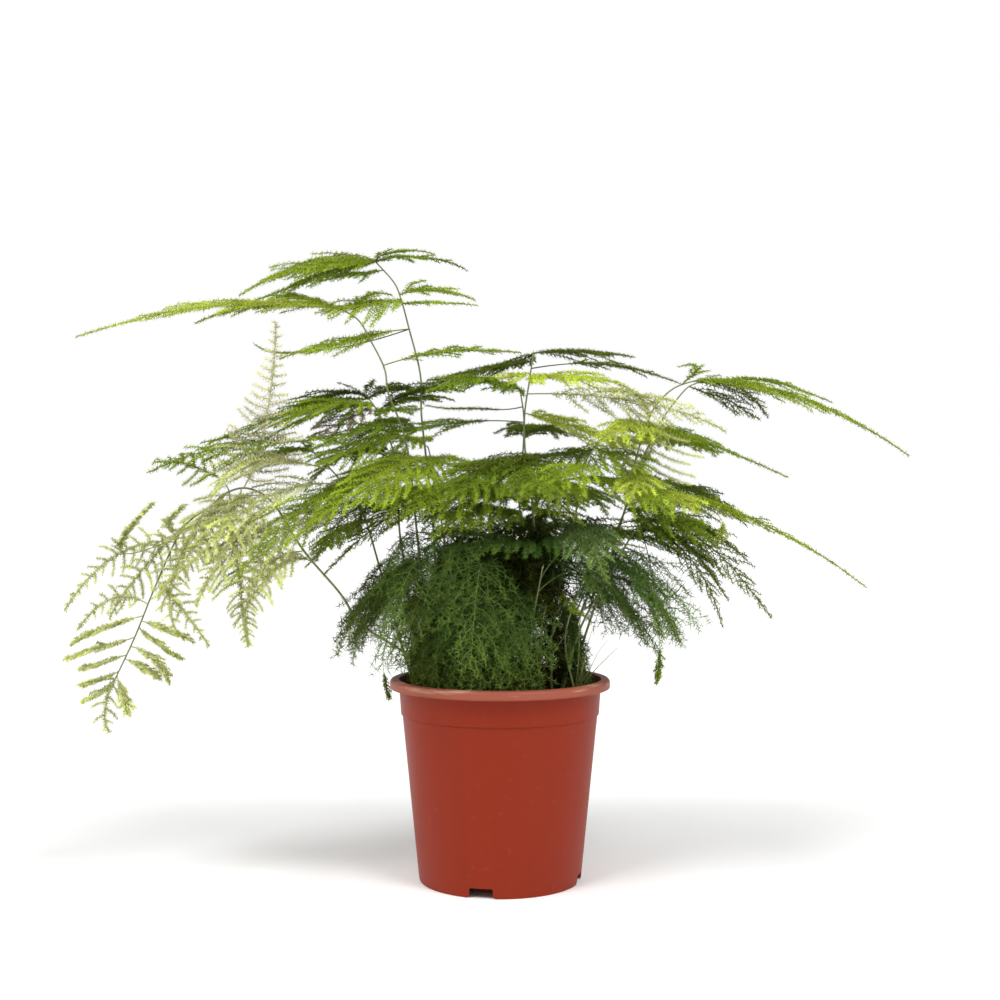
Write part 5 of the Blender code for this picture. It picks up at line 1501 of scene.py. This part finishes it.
            below = self.math("LESS_THAN", wanted, kind.longest * MM + self.EDGE)
            where = self.times(self.times(above, below), leafy_part)
            twig = self.twig(kind.pairs, kind.length * MM) if kind.pairs else self.tuft()
            scale = self.math("DIVIDE", wanted, kind.length * MM)
            kinds.append(self.planted(points, twig, spun, scale, where))
        return self.real(self.join(*kinds))


@dataclass
class LeafyStem:
    """One stem with its sprays, regrown along the route of its solid.

    Sizes are in millimetres. A spray's branchlets reach a little past its half width, since they
    lean forwards, and every stem has its own seed.
    """

    stem: Stem
    number: int
    base_radius: float = 1.2
    top_radius: float = 0.55
    rib_radii: Pair = (0.5, 0.16)
    root_depth: float = 6.0
    curve_steps: int = 6
    rib_steps: int = 20
    sway: float = 0.7
    reach: float = 1.25
    young_share: float = 0.16
    darkening: float = 2.2
    seed: int = 1000
    spray_seed: int = 10

    @staticmethod
    def between(corners: list[Vector], t: float) -> Vector:
        """A point on a smooth curve through a route.

        Args:
            corners: The point before the two that it lies between, those two, and the one after.
            t: How far it lies from the first of the two to the second.

        Returns:
            The point.
        """
        before, start, end, after = corners
        straight = 2 * start + (end - before) * t
        bent = (2 * before - 5 * start + 4 * end - after) * t * t
        return 0.5 * (straight + bent + (3 * start - before - 3 * end + after) * t**3)

    def path(self) -> list[Vector]:
        """The stem's smooth line.

        Returns:
            Its points from below the soil to the top, in metres.
        """
        points = [Vector(point) * MM for point in self.stem.route]
        padded = [points[0] * 2 - points[1], *points, points[-1] * 2 - points[-2]]
        line = [points[0] - Vector((0, 0, self.root_depth * MM))]
        for index in range(len(points) - 1):
            corners = padded[index : index + 4]
            line += [self.between(corners, step / self.curve_steps) for step in range(self.curve_steps)]
        return [*line, points[-1]]

    def joint(self, line: list[Vector], at: float) -> Vector:
        """Where a rib leaves the stem.

        Args:
            line: The stem's line.
            at: The place on the route, counted in its points.

        Returns:
            The point in metres.
        """
        whole = min(int(at), len(self.stem.route) - 2)
        spot = 1 + self.curve_steps * whole + (at - whole) * self.curve_steps
        below = min(int(spot), len(line) - 2)
        return line[below].lerp(line[below + 1], spot - below)

    def stem_line(self, skeleton: Skeleton, line: list[Vector]) -> None:
        """Add the stem itself to a skeleton.

        Args:
            skeleton: The skeleton.
            line: The stem's line.
        """
        runs = [0.0]
        for start, end in zip(line, line[1:]):
            runs.append(runs[-1] + (end - start).length)
        shares = [run / runs[-1] for run in runs]
        radii = [(self.base_radius + (self.top_radius - self.base_radius) * share) * MM for share in shares]
        low, high = Tone.STEM_LOW.tint(), Tone.STEM_HIGH.tint()
        tints = [low.lerp(high, min(1.0, self.darkening * share)) for share in shares]
        skeleton.line(line, radii, [0.0] * len(line), UP, tints)

    def rib_line(self, skeleton: Skeleton, base: Vector, spray: Spray, draw: random.Random) -> None:
        """Add a spray's rib to a skeleton.

        Args:
            skeleton: The skeleton.
            base: Where the rib leaves the stem.
            spray: The spray.
            draw: The source of its small irregularities.
        """
        via, tip = Vector(spray.via) * MM, Vector(spray.tip) * MM
        bend = via * 2 - (base + tip) * 0.5
        points, radii, reach, tints = [], [], [], []
        sway = Vector([draw.uniform(-self.sway, self.sway) * MM for _ in range(3)])
        start, end = self.rib_radii
        tint, young = spray.tone.tint(), Tone.YELLOW.tint()
        for step in range(self.rib_steps + 1):
            t = step / self.rib_steps
            point = base * (1 - t) ** 2 + bend * (2 * t * (1 - t)) + tip * t * t
            points.append(point + sway * math.sin(3 * math.pi * t))
            radii.append((start + (end - start) * t) * MM)
            wide = spray.growth.value.width((t - spray.bare) / (1 - spray.bare))
            reach.append(spray.half_width * wide * self.reach * MM)
            tints.append(tint.lerp(young, self.young_share * t))
        wood = Tone.RIB if spray.growth is Growth.BUSH else Tone.BARK
        skeleton.line(points, radii, reach, spray.facing, tints, wood)

    def build(self, stems: StemTree, sprays: SprayTree) -> bpy.types.Object:
        """Grow the stem and its sprays as one piece.

        Args:
            stems: The nodes that make stems.
            sprays: The nodes that make sprays.

        Returns:
            The finished piece, which replaces the stem's solid.
        """
        draw = random.Random(self.seed + self.number)
        line = self.path()
        bones = Skeleton()
        self.stem_line(bones, line)
        name = self.stem.name
        parts = [grown(name + "_core", bones.mesh(name + "_line"), stems, {"Seed": self.number})]
        for growth in Growth:
            ribs = Skeleton()
            for spray in self.stem.sprays:
                if spray.growth is growth:
                    self.rib_line(ribs, self.joint(line, spray.at), spray, draw)
            if ribs.points:
                title = f"{name}_{growth.name.lower()}"
                sizes = growth.value.sizes(self.spray_seed * self.number + len(parts))
                parts.append(grown(title, ribs.mesh(name + "_ribs"), sprays, sizes))
        piece = merged(name + "_foliage", parts)
        piece.data.shade_smooth()
        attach(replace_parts(piece, name), BODY)
        return piece


@dataclass
class NurseryPot:
    """The turned plastic pot with its rim, band, foot ring, notches and drain holes.

    Sizes are in millimetres. The neck and the fillet are given as steps outwards and upwards, and
    each size that ends in round is the radius of a rounded corner.
    """

    height: float = 155.0
    rim_radius: float = 85.0
    rim_depth: float = 7.0
    mouth_radius: float = 78.0
    mouth_round: float = 0.9
    rim_round: float = 2.6
    under_round: float = 0.8
    wall: float = 1.5
    neck: tuple[Pair, ...] = ((2.2, 0.0), (1.5, -0.5), (1.3, -1.4))
    band_bottom: float = 128.0
    band_radius: float = 76.5
    band_step: float = 1.1
    band_round: float = 0.6
    band_lift: float = 0.3
    band_drop: float = 0.7
    foot_radius: float = 62.3
    foot_round: float = 0.7
    foot_step: float = 0.4
    foot_depth: float = 2.0
    foot_widths: Pair = (2.6, 2.2)
    floor_height: float = 9.0
    floor_thickness: float = 1.6
    fillet: tuple[Pair, ...] = ((-1.5, 0.0), (-0.4, 0.4), (0.0, 1.5))
    notch_half_width: float = 9.0
    notch_height: float = 7.6
    notch_flare: float = 2.5
    notch_round: float = 1.2
    notch_reach: float = 8.0
    notch_start: float = -1.0
    flare_steepness: float = 1.6
    flare_steps: int = 6
    notch_angles: tuple[float, ...] = (-13.0, 77.0, 167.0, 257.0)
    drain_radius: float = 4.0
    drain_circle: float = 50.0
    drain_depth: float = 6.0
    drain_sides: int = 24
    drains: int = 8
    turn_steps: int = 192
    sharpest: float = 32.0

    def profile(self) -> list[Pair]:
        """The pot's outline from the axis inside, over the rim, to the axis underneath.

        Returns:
            Points of radius and height.
        """
        corner, band, foot, bottom = self.round_corner, self.band_radius, self.foot_radius, self.band_bottom
        under = self.height - self.rim_depth
        taper_top, taper_foot = band - self.band_step, foot + self.foot_step
        floor_top = self.floor_height + self.floor_thickness
        inner_foot = taper_foot - self.wall + floor_top / bottom * (taper_top - taper_foot)
        mouth, rim, edge = self.mouth_round, self.rim_round, self.under_round
        return [
            (0.0, floor_top),
            *((inner_foot + out, floor_top + up) for out, up in self.fillet),
            (taper_top - self.wall, bottom),
            *corner(self.mouth_radius + mouth, self.height - mouth, mouth, 180.0, 90.0),
            *corner(self.rim_radius - rim, self.height - rim, rim, 90.0, 0.0),
            *corner(self.rim_radius - edge, under + edge, edge, 0.0, -90.0),
            *((band + out, under + up) for out, up in self.neck),
            *corner(band - self.band_round, bottom + self.band_lift, self.band_round, 0.0, -90.0),
            (taper_top, bottom - self.band_drop),
            (taper_foot, self.foot_depth),
            *corner(foot - self.foot_round, self.foot_round, self.foot_round, 0.0, -90.0),
            (foot - self.foot_widths[0], 0.0),
            (foot - self.foot_widths[1], self.floor_height),
            (0.0, self.floor_height),
        ]

    @staticmethod
    def round_corner(
        radius: float, height: float, size: float, start: float, end: float, steps: int = 5
    ) -> list[Pair]:
        """Points along an arc of the outline.

        Args:
            radius: The arc's centre, from the axis.
            height: The arc's centre, above the floor.
            size: The arc's own radius.
            start: The angle at which it begins, in degrees.
            end: The angle at which it ends.
            steps: How many spans it has.

        Returns:
            Points of radius and height.
        """
        angles = [math.radians(start + (end - start) * step / steps) for step in range(steps + 1)]
        return [(radius + size * math.cos(angle), height + size * math.sin(angle)) for angle in angles]

    def arch(self) -> list[Pair]:
        """The outline of a notch, flared where it meets the floor.

        Returns:
            Points across the notch and above the floor.
        """
        flare, rounding = self.notch_flare, self.notch_round
        widest = self.notch_half_width + flare
        half = [(widest, self.notch_start), (widest, 0.0)]
        for step in range(1, self.flare_steps + 1):
            angle = math.radians(90.0 / self.flare_steps * step)
            rise = self.flare_steepness * flare * (1 - math.cos(angle))
            half.append((widest - flare * math.sin(angle), rise))
        centre = (self.notch_half_width - rounding, self.notch_height - rounding)
        half += self.round_corner(*centre, rounding, 0.0, 90.0, 4)
        return half + [(-across, height) for across, height in reversed(half)]

    def notch_cutter(self) -> bpy.types.Object:
        """Make the arches that leave the foot ring.

        Returns:
            A solid that is cut out of the pot.
        """
        mesh = bmesh.new()
        outline = self.arch()
        for degrees in self.notch_angles:
            angle = math.radians(degrees - 90.0)
            outward = Vector((math.cos(angle), math.sin(angle), 0.0))
            across = Vector((-outward.y, outward.x, 0.0))
            loops = []
            for radius in (self.foot_radius - self.notch_reach, self.foot_radius + self.notch_reach):
                places = [outward * radius + across * u + Vector((0, 0, z)) for u, z in outline]
                loops.append([mesh.verts.new(place * MM) for place in places])
            mesh.faces.new(loops[0])
            mesh.faces.new(list(reversed(loops[1])))
            for index in range(len(outline)):
                after = (index + 1) % len(outline)
                mesh.faces.new((loops[0][index], loops[1][index], loops[1][after], loops[0][after]))
        bmesh.ops.recalc_face_normals(mesh, faces=mesh.faces)
        return linked("notch_cutter", shaped("notch_cutter", mesh))

    def drain_cutter(self) -> bpy.types.Object:
        """Make the round drain holes.

        Returns:
            A solid that is cut out of the pot.
        """
        mesh = bmesh.new()
        radius = self.drain_radius * MM
        for index in range(self.drains):
            angle = 2 * math.pi * (index + 0.5) / self.drains
            made = bmesh.ops.create_cone(
                mesh, cap_ends=True, segments=self.drain_sides, radius1=radius, radius2=radius,
                depth=self.drain_depth * MM,
            )
            centre = Vector((math.cos(angle), math.sin(angle), 0.0)) * self.drain_circle
            centre.z = self.floor_height + 0.5 * self.floor_thickness
            bmesh.ops.translate(mesh, verts=made["verts"], vec=centre * MM)
        return linked("drain_cutter", shaped("drain_cutter", mesh))

    def build(self, plastic: bpy.types.Material) -> bpy.types.Object:
        """Turn the pot, cut its notches and drain holes, and dress it.

        Args:
            plastic: The pot's material.

        Returns:
            The finished piece, which replaces the pot's solid.
        """
        mesh = bmesh.new()
        corners = [mesh.verts.new((radius * MM, 0.0, height * MM)) for radius, height in self.profile()]
        edges = [mesh.edges.new(pair) for pair in zip(corners, corners[1:])]
        bmesh.ops.spin(
            mesh, geom=corners + edges, cent=(0, 0, 0), axis=(0, 0, 1), angle=2 * math.pi,
            steps=self.turn_steps, use_merge=True,
        )
        bmesh.ops.remove_doubles(mesh, verts=mesh.verts, dist=WELD)
        bmesh.ops.recalc_face_normals(mesh, faces=mesh.faces)
        turned = linked("turned_pot", shaped("turned_pot", mesh))
        cutters = [self.notch_cutter(), self.drain_cutter()]
        for tool in cutters:
            cut = turned.modifiers.new(tool.name, "BOOLEAN")
            cut.operation = "DIFFERENCE"
            cut.solver = "EXACT"
            cut.object = tool
        made = evaluated(turned)
        for tool in (*cutters, turned):
            bpy.data.objects.remove(tool, do_unlink=True)
        piece = linked("nursery_pot", made)
        made.materials.clear()
        made.materials.append(plastic)
        made.shade_smooth()
        made.set_sharp_from_angle(angle=math.radians(self.sharpest))
        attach(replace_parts(piece, "pot"), BODY)
        return piece


class CrumbTree(GeometryTree):
    """Crumbs scattered over the top of the soil."""

    LEVEL = 0.5
    SMALLER = 2.4
    SQUASH = ((0.55, 0.55, 0.45), (1.5, 1.1, 0.9))

    def __init__(self, peat: bpy.types.Material) -> None:
        """Lay out the nodes.

        Args:
            peat: The soil's material.
        """
        super().__init__("soil_crumbs", 5)
        spacing = self.size("Crumb Spacing", 0.0019)
        density = self.size("Crumb Density", 90000.0)
        smallest = self.size("Smallest Crumb", 0.0004)
        largest = self.size("Largest Crumb", 0.0018)
        level = self.math("GREATER_THAN", self.height(self.result("GeometryNodeInputNormal")), self.LEVEL)
        inputs = {"Mesh": self.given, "Selection": level, "Seed": self.seed}
        inputs |= {"Distance Min": spacing, "Density Max": density}
        kind = "GeometryNodeDistributePointsOnFaces"
        points = self.add(kind, inputs, distribute_method="POISSON").outputs["Points"]
        crumb = self.result("GeometryNodeMeshIcoSphere", {"Radius": 1.0, "Subdivisions": 1})
        rotation = self.euler(self.chance_vector((0.0, 0.0, 0.0), (FULL_TURN,) * 3, 1))
        biased = self.math("POWER", self.chance(0.0, 1.0, 2), self.SMALLER)
        size = self.slope(biased, self.math("SUBTRACT", largest, smallest), smallest)
        shape = self.scaled(self.chance_vector(*self.SQUASH, 9), size)
        self.finish(self.join(self.given, self.planted(points, crumb, rotation, shape)), peat)


@dataclass
class Soil:
    """The peat that fills the pot, uneven on top and strewn with crumbs.

    Sizes are in millimetres. The top is a sum of waves that run in random directions, and a wave's
    pitch is in hundredths of a radian to the millimetre.
    """

    top: float = 140.0
    bottom: float = 10.9
    top_radius: float = 75.0
    bottom_radius: float = 61.6
    rings: int = 22
    segments: int = 96
    unevenness: float = 1.5
    waves: int = 9
    pitches: Pair = (40.0, 160.0)
    grain: float = 0.3
    seed: int = 17

    def around(self, radius: float) -> list[Pair]:
        """Evenly spaced places at a distance from the axis."""
        angles = [2 * math.pi * segment / self.segments for segment in range(self.segments)]
        return [(radius * math.cos(angle), radius * math.sin(angle)) for angle in angles]

    def loops(self, mesh: bmesh.types.BMesh) -> list[list[bmesh.types.BMVert]]:
        """Set out the soil's corners.

        Args:
            mesh: The shape that they go in.

        Returns:
            The rings of the top from the middle outwards, and the ring of the bottom.
        """
        draw = random.Random(self.seed)
        waves = [
            (draw.uniform(*self.pitches), draw.uniform(0, FULL_TURN), draw.uniform(0, FULL_TURN))
            for _ in range(self.waves)
        ]
        loops = []
        for ring in range(1, self.rings + 1):
            loop = []
            for x, y in self.around(self.top_radius * ring / self.rings):
                rough = sum(
                    math.sin((x * math.cos(way) + y * math.sin(way)) * pitch / 100 + phase)
                    for pitch, way, phase in waves
                )
                rise = self.unevenness * rough / math.sqrt(self.waves)
                height = self.top + rise + draw.uniform(-self.grain, self.grain)
                loop.append(mesh.verts.new((x * MM, y * MM, height * MM)))
            loops.append(loop)
        places = self.around(self.bottom_radius)
        return [*loops, [mesh.verts.new((x * MM, y * MM, self.bottom * MM)) for x, y in places]]

    def build(self, peat: bpy.types.Material) -> bpy.types.Object:
        """Make the soil and scatter its crumbs.

        Args:
            peat: The soil's material.

        Returns:
            The finished piece, which replaces the soil's solid.
        """
        mesh = bmesh.new()
        centre = mesh.verts.new((0.0, 0.0, self.top * MM))
        loops = self.loops(mesh)
        for segment in range(self.segments):
            after = (segment + 1) % self.segments
            mesh.faces.new((centre, loops[0][segment], loops[0][after]))
            for inner, outer in zip(loops, loops[1:]):
                mesh.faces.new((inner[segment], outer[segment], outer[after], inner[after]))
        mesh.faces.new(list(reversed(loops[-1])))
        bmesh.ops.recalc_face_normals(mesh, faces=mesh.faces)
        piece = grown("soil_body", shaped("soil_ground", mesh), CrumbTree(peat), {})
        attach(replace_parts(piece, "soil"), BODY)
        return piece


@dataclass(frozen=True)
class Studio:
    """The camera at the photograph's place, the pale floor and the soft light.

    Sizes and places are in metres. Each sun and each strip stands at its place and faces its aim.
    """

    camera_distance: float = 1.124
    camera_height: float = 0.2926
    lens: float = 52.2
    sensor: float = 36.0
    nearest: float = 0.02
    floor_size: float = 40.0
    surround: float = 1.0
    fill: float = 0.54
    white: Colour = (1.0, 1.0, 1.0, 1.0)
    sun_power: float = 1.44
    sun_softness: float = 22.0
    sun_aim: Point = (0.0, 0.0, 0.25)
    suns: tuple[tuple[str, Point], ...] = (
        ("left_sun", (-0.9, -1.0, 2.0)),
        ("right_sun", (0.9, -1.0, 2.0)),
    )
    strip_power: float = 1.6
    strip_size: Pair = (0.25, 1.2)
    strip_aim: Point = (0.0, 0.0, 0.12)
    strips: tuple[tuple[str, Point], ...] = (
        ("left_strip", (-0.9, -0.35, 0.4)),
        ("right_strip", (0.75, -0.75, 0.4)),
    )

    def camera(self) -> None:
        """Set the camera at the photograph's viewing angle, level and facing the back."""
        data = bpy.data.cameras.new("photograph_camera")
        data.lens = self.lens
        data.sensor_width = self.sensor
        data.clip_start = self.nearest
        eye = bpy.data.objects.new("photograph_camera", data)
        eye.location = (0.0, -self.camera_distance, self.camera_height)
        eye.rotation_euler = (math.radians(90.0), 0.0, 0.0)
        bpy.context.scene.collection.objects.link(eye)
        bpy.context.scene.camera = eye

    @staticmethod
    def lamp(name: str, kind: str, power: float, place: Point, aim: Point) -> bpy.types.Light:
        """Stand a light in the scene.

        Args:
            name: Its name.
            kind: What kind of light it is.
            power: How bright it is.
            place: Where it stands.
            aim: The point that it faces.

        Returns:
            The light's own settings.
        """
        data = bpy.data.lights.new(name, kind)
        data.energy = power
        light = bpy.data.objects.new(name, data)
        light.location = place
        light.rotation_euler = (Vector(aim) - Vector(place)).to_track_quat("-Z", "Y").to_euler()
        bpy.context.scene.collection.objects.link(light)
        return data

    def lights(self) -> None:
        """Add even, soft suns, and tall narrow panels that give the pot its upright sheen."""
        for name, place in self.suns:
            sun = self.lamp(name, "SUN", self.sun_power, place, self.sun_aim)
            sun.angle = math.radians(self.sun_softness)
        for name, place in self.strips:
            panel = self.lamp(name, "AREA", self.strip_power, place, self.strip_aim)
            panel.shape = "RECTANGLE"
            panel.size, panel.size_y = self.strip_size

    def world(self) -> None:
        """Surround the plant with soft light, against plain white."""
        world = bpy.data.worlds.new("soft_studio")
        world.use_nodes = True
        nodes = NodeTree(world.node_tree)
        seen = nodes.add("ShaderNodeLightPath").outputs["Is Camera Ray"]
        sky = world.node_tree.nodes["Background"]
        nodes.plug(sky, "Color", self.white)
        nodes.plug(sky, "Strength", nodes.slope(seen, self.surround - self.fill, self.fill))
        bpy.context.scene.world = world
        bpy.context.scene.view_settings.view_transform = "Standard"

    def ground(self) -> None:
        """Lay the studio floor."""
        half = self.floor_size / 2
        corners = [(-half, -half, 0.0), (half, -half, 0.0), (half, half, 0.0), (-half, half, 0.0)]
        shape = bpy.data.meshes.new("studio_floor")
        shape.from_pydata(corners, [], [(0, 1, 2, 3)])
        shape.materials.append(PaleFloor().material())
        linked("studio_floor", shape)

    def build(self) -> None:
        """Set up the camera, the floor and the light."""
        self.camera()
        self.ground()
        self.lights()
        self.world()


@dataclass
class Fern:
    """The whole plant in its pot."""

    pot: NurseryPot = field(default_factory=NurseryPot)
    soil: Soil = field(default_factory=Soil)
    bush: BushLayout = field(default_factory=BushLayout)
    tall_radius: float = 1.1
    low_radius: float = 0.8

    def build(self) -> None:
        """Build every piece in order and report it."""
        pieces = [self.pot.build(MouldedPlastic().material()), self.soil.build(Peat().material())]
        stems = StemTree(StemSkin().material())
        sprays = SprayTree(Greenery().material())
        low = [self.bush.stem(number, stem) for number, stem in enumerate(LOW_STEMS, 1)]
        for number, stem in enumerate([*TALL_STEMS, *BACK_STEMS, *low], 1):
            radius = self.low_radius if stem in low else self.tall_radius
            pieces.append(LeafyStem(stem, number, radius).build(stems, sprays))
        total = 0
        for piece in pieces:
            faces = sum(len(polygon.vertices) - 2 for polygon in piece.data.polygons)
            total += faces
            log.info("%s: %d triangles", piece.name, faces)
        log.info("all pieces: %d triangles", total)


def main() -> None:
    """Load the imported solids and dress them."""
    logging.basicConfig(level=logging.INFO, format="%(message)s")
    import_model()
    Studio().build()
    Fern().build()


if __name__ == "__main__":
    main()
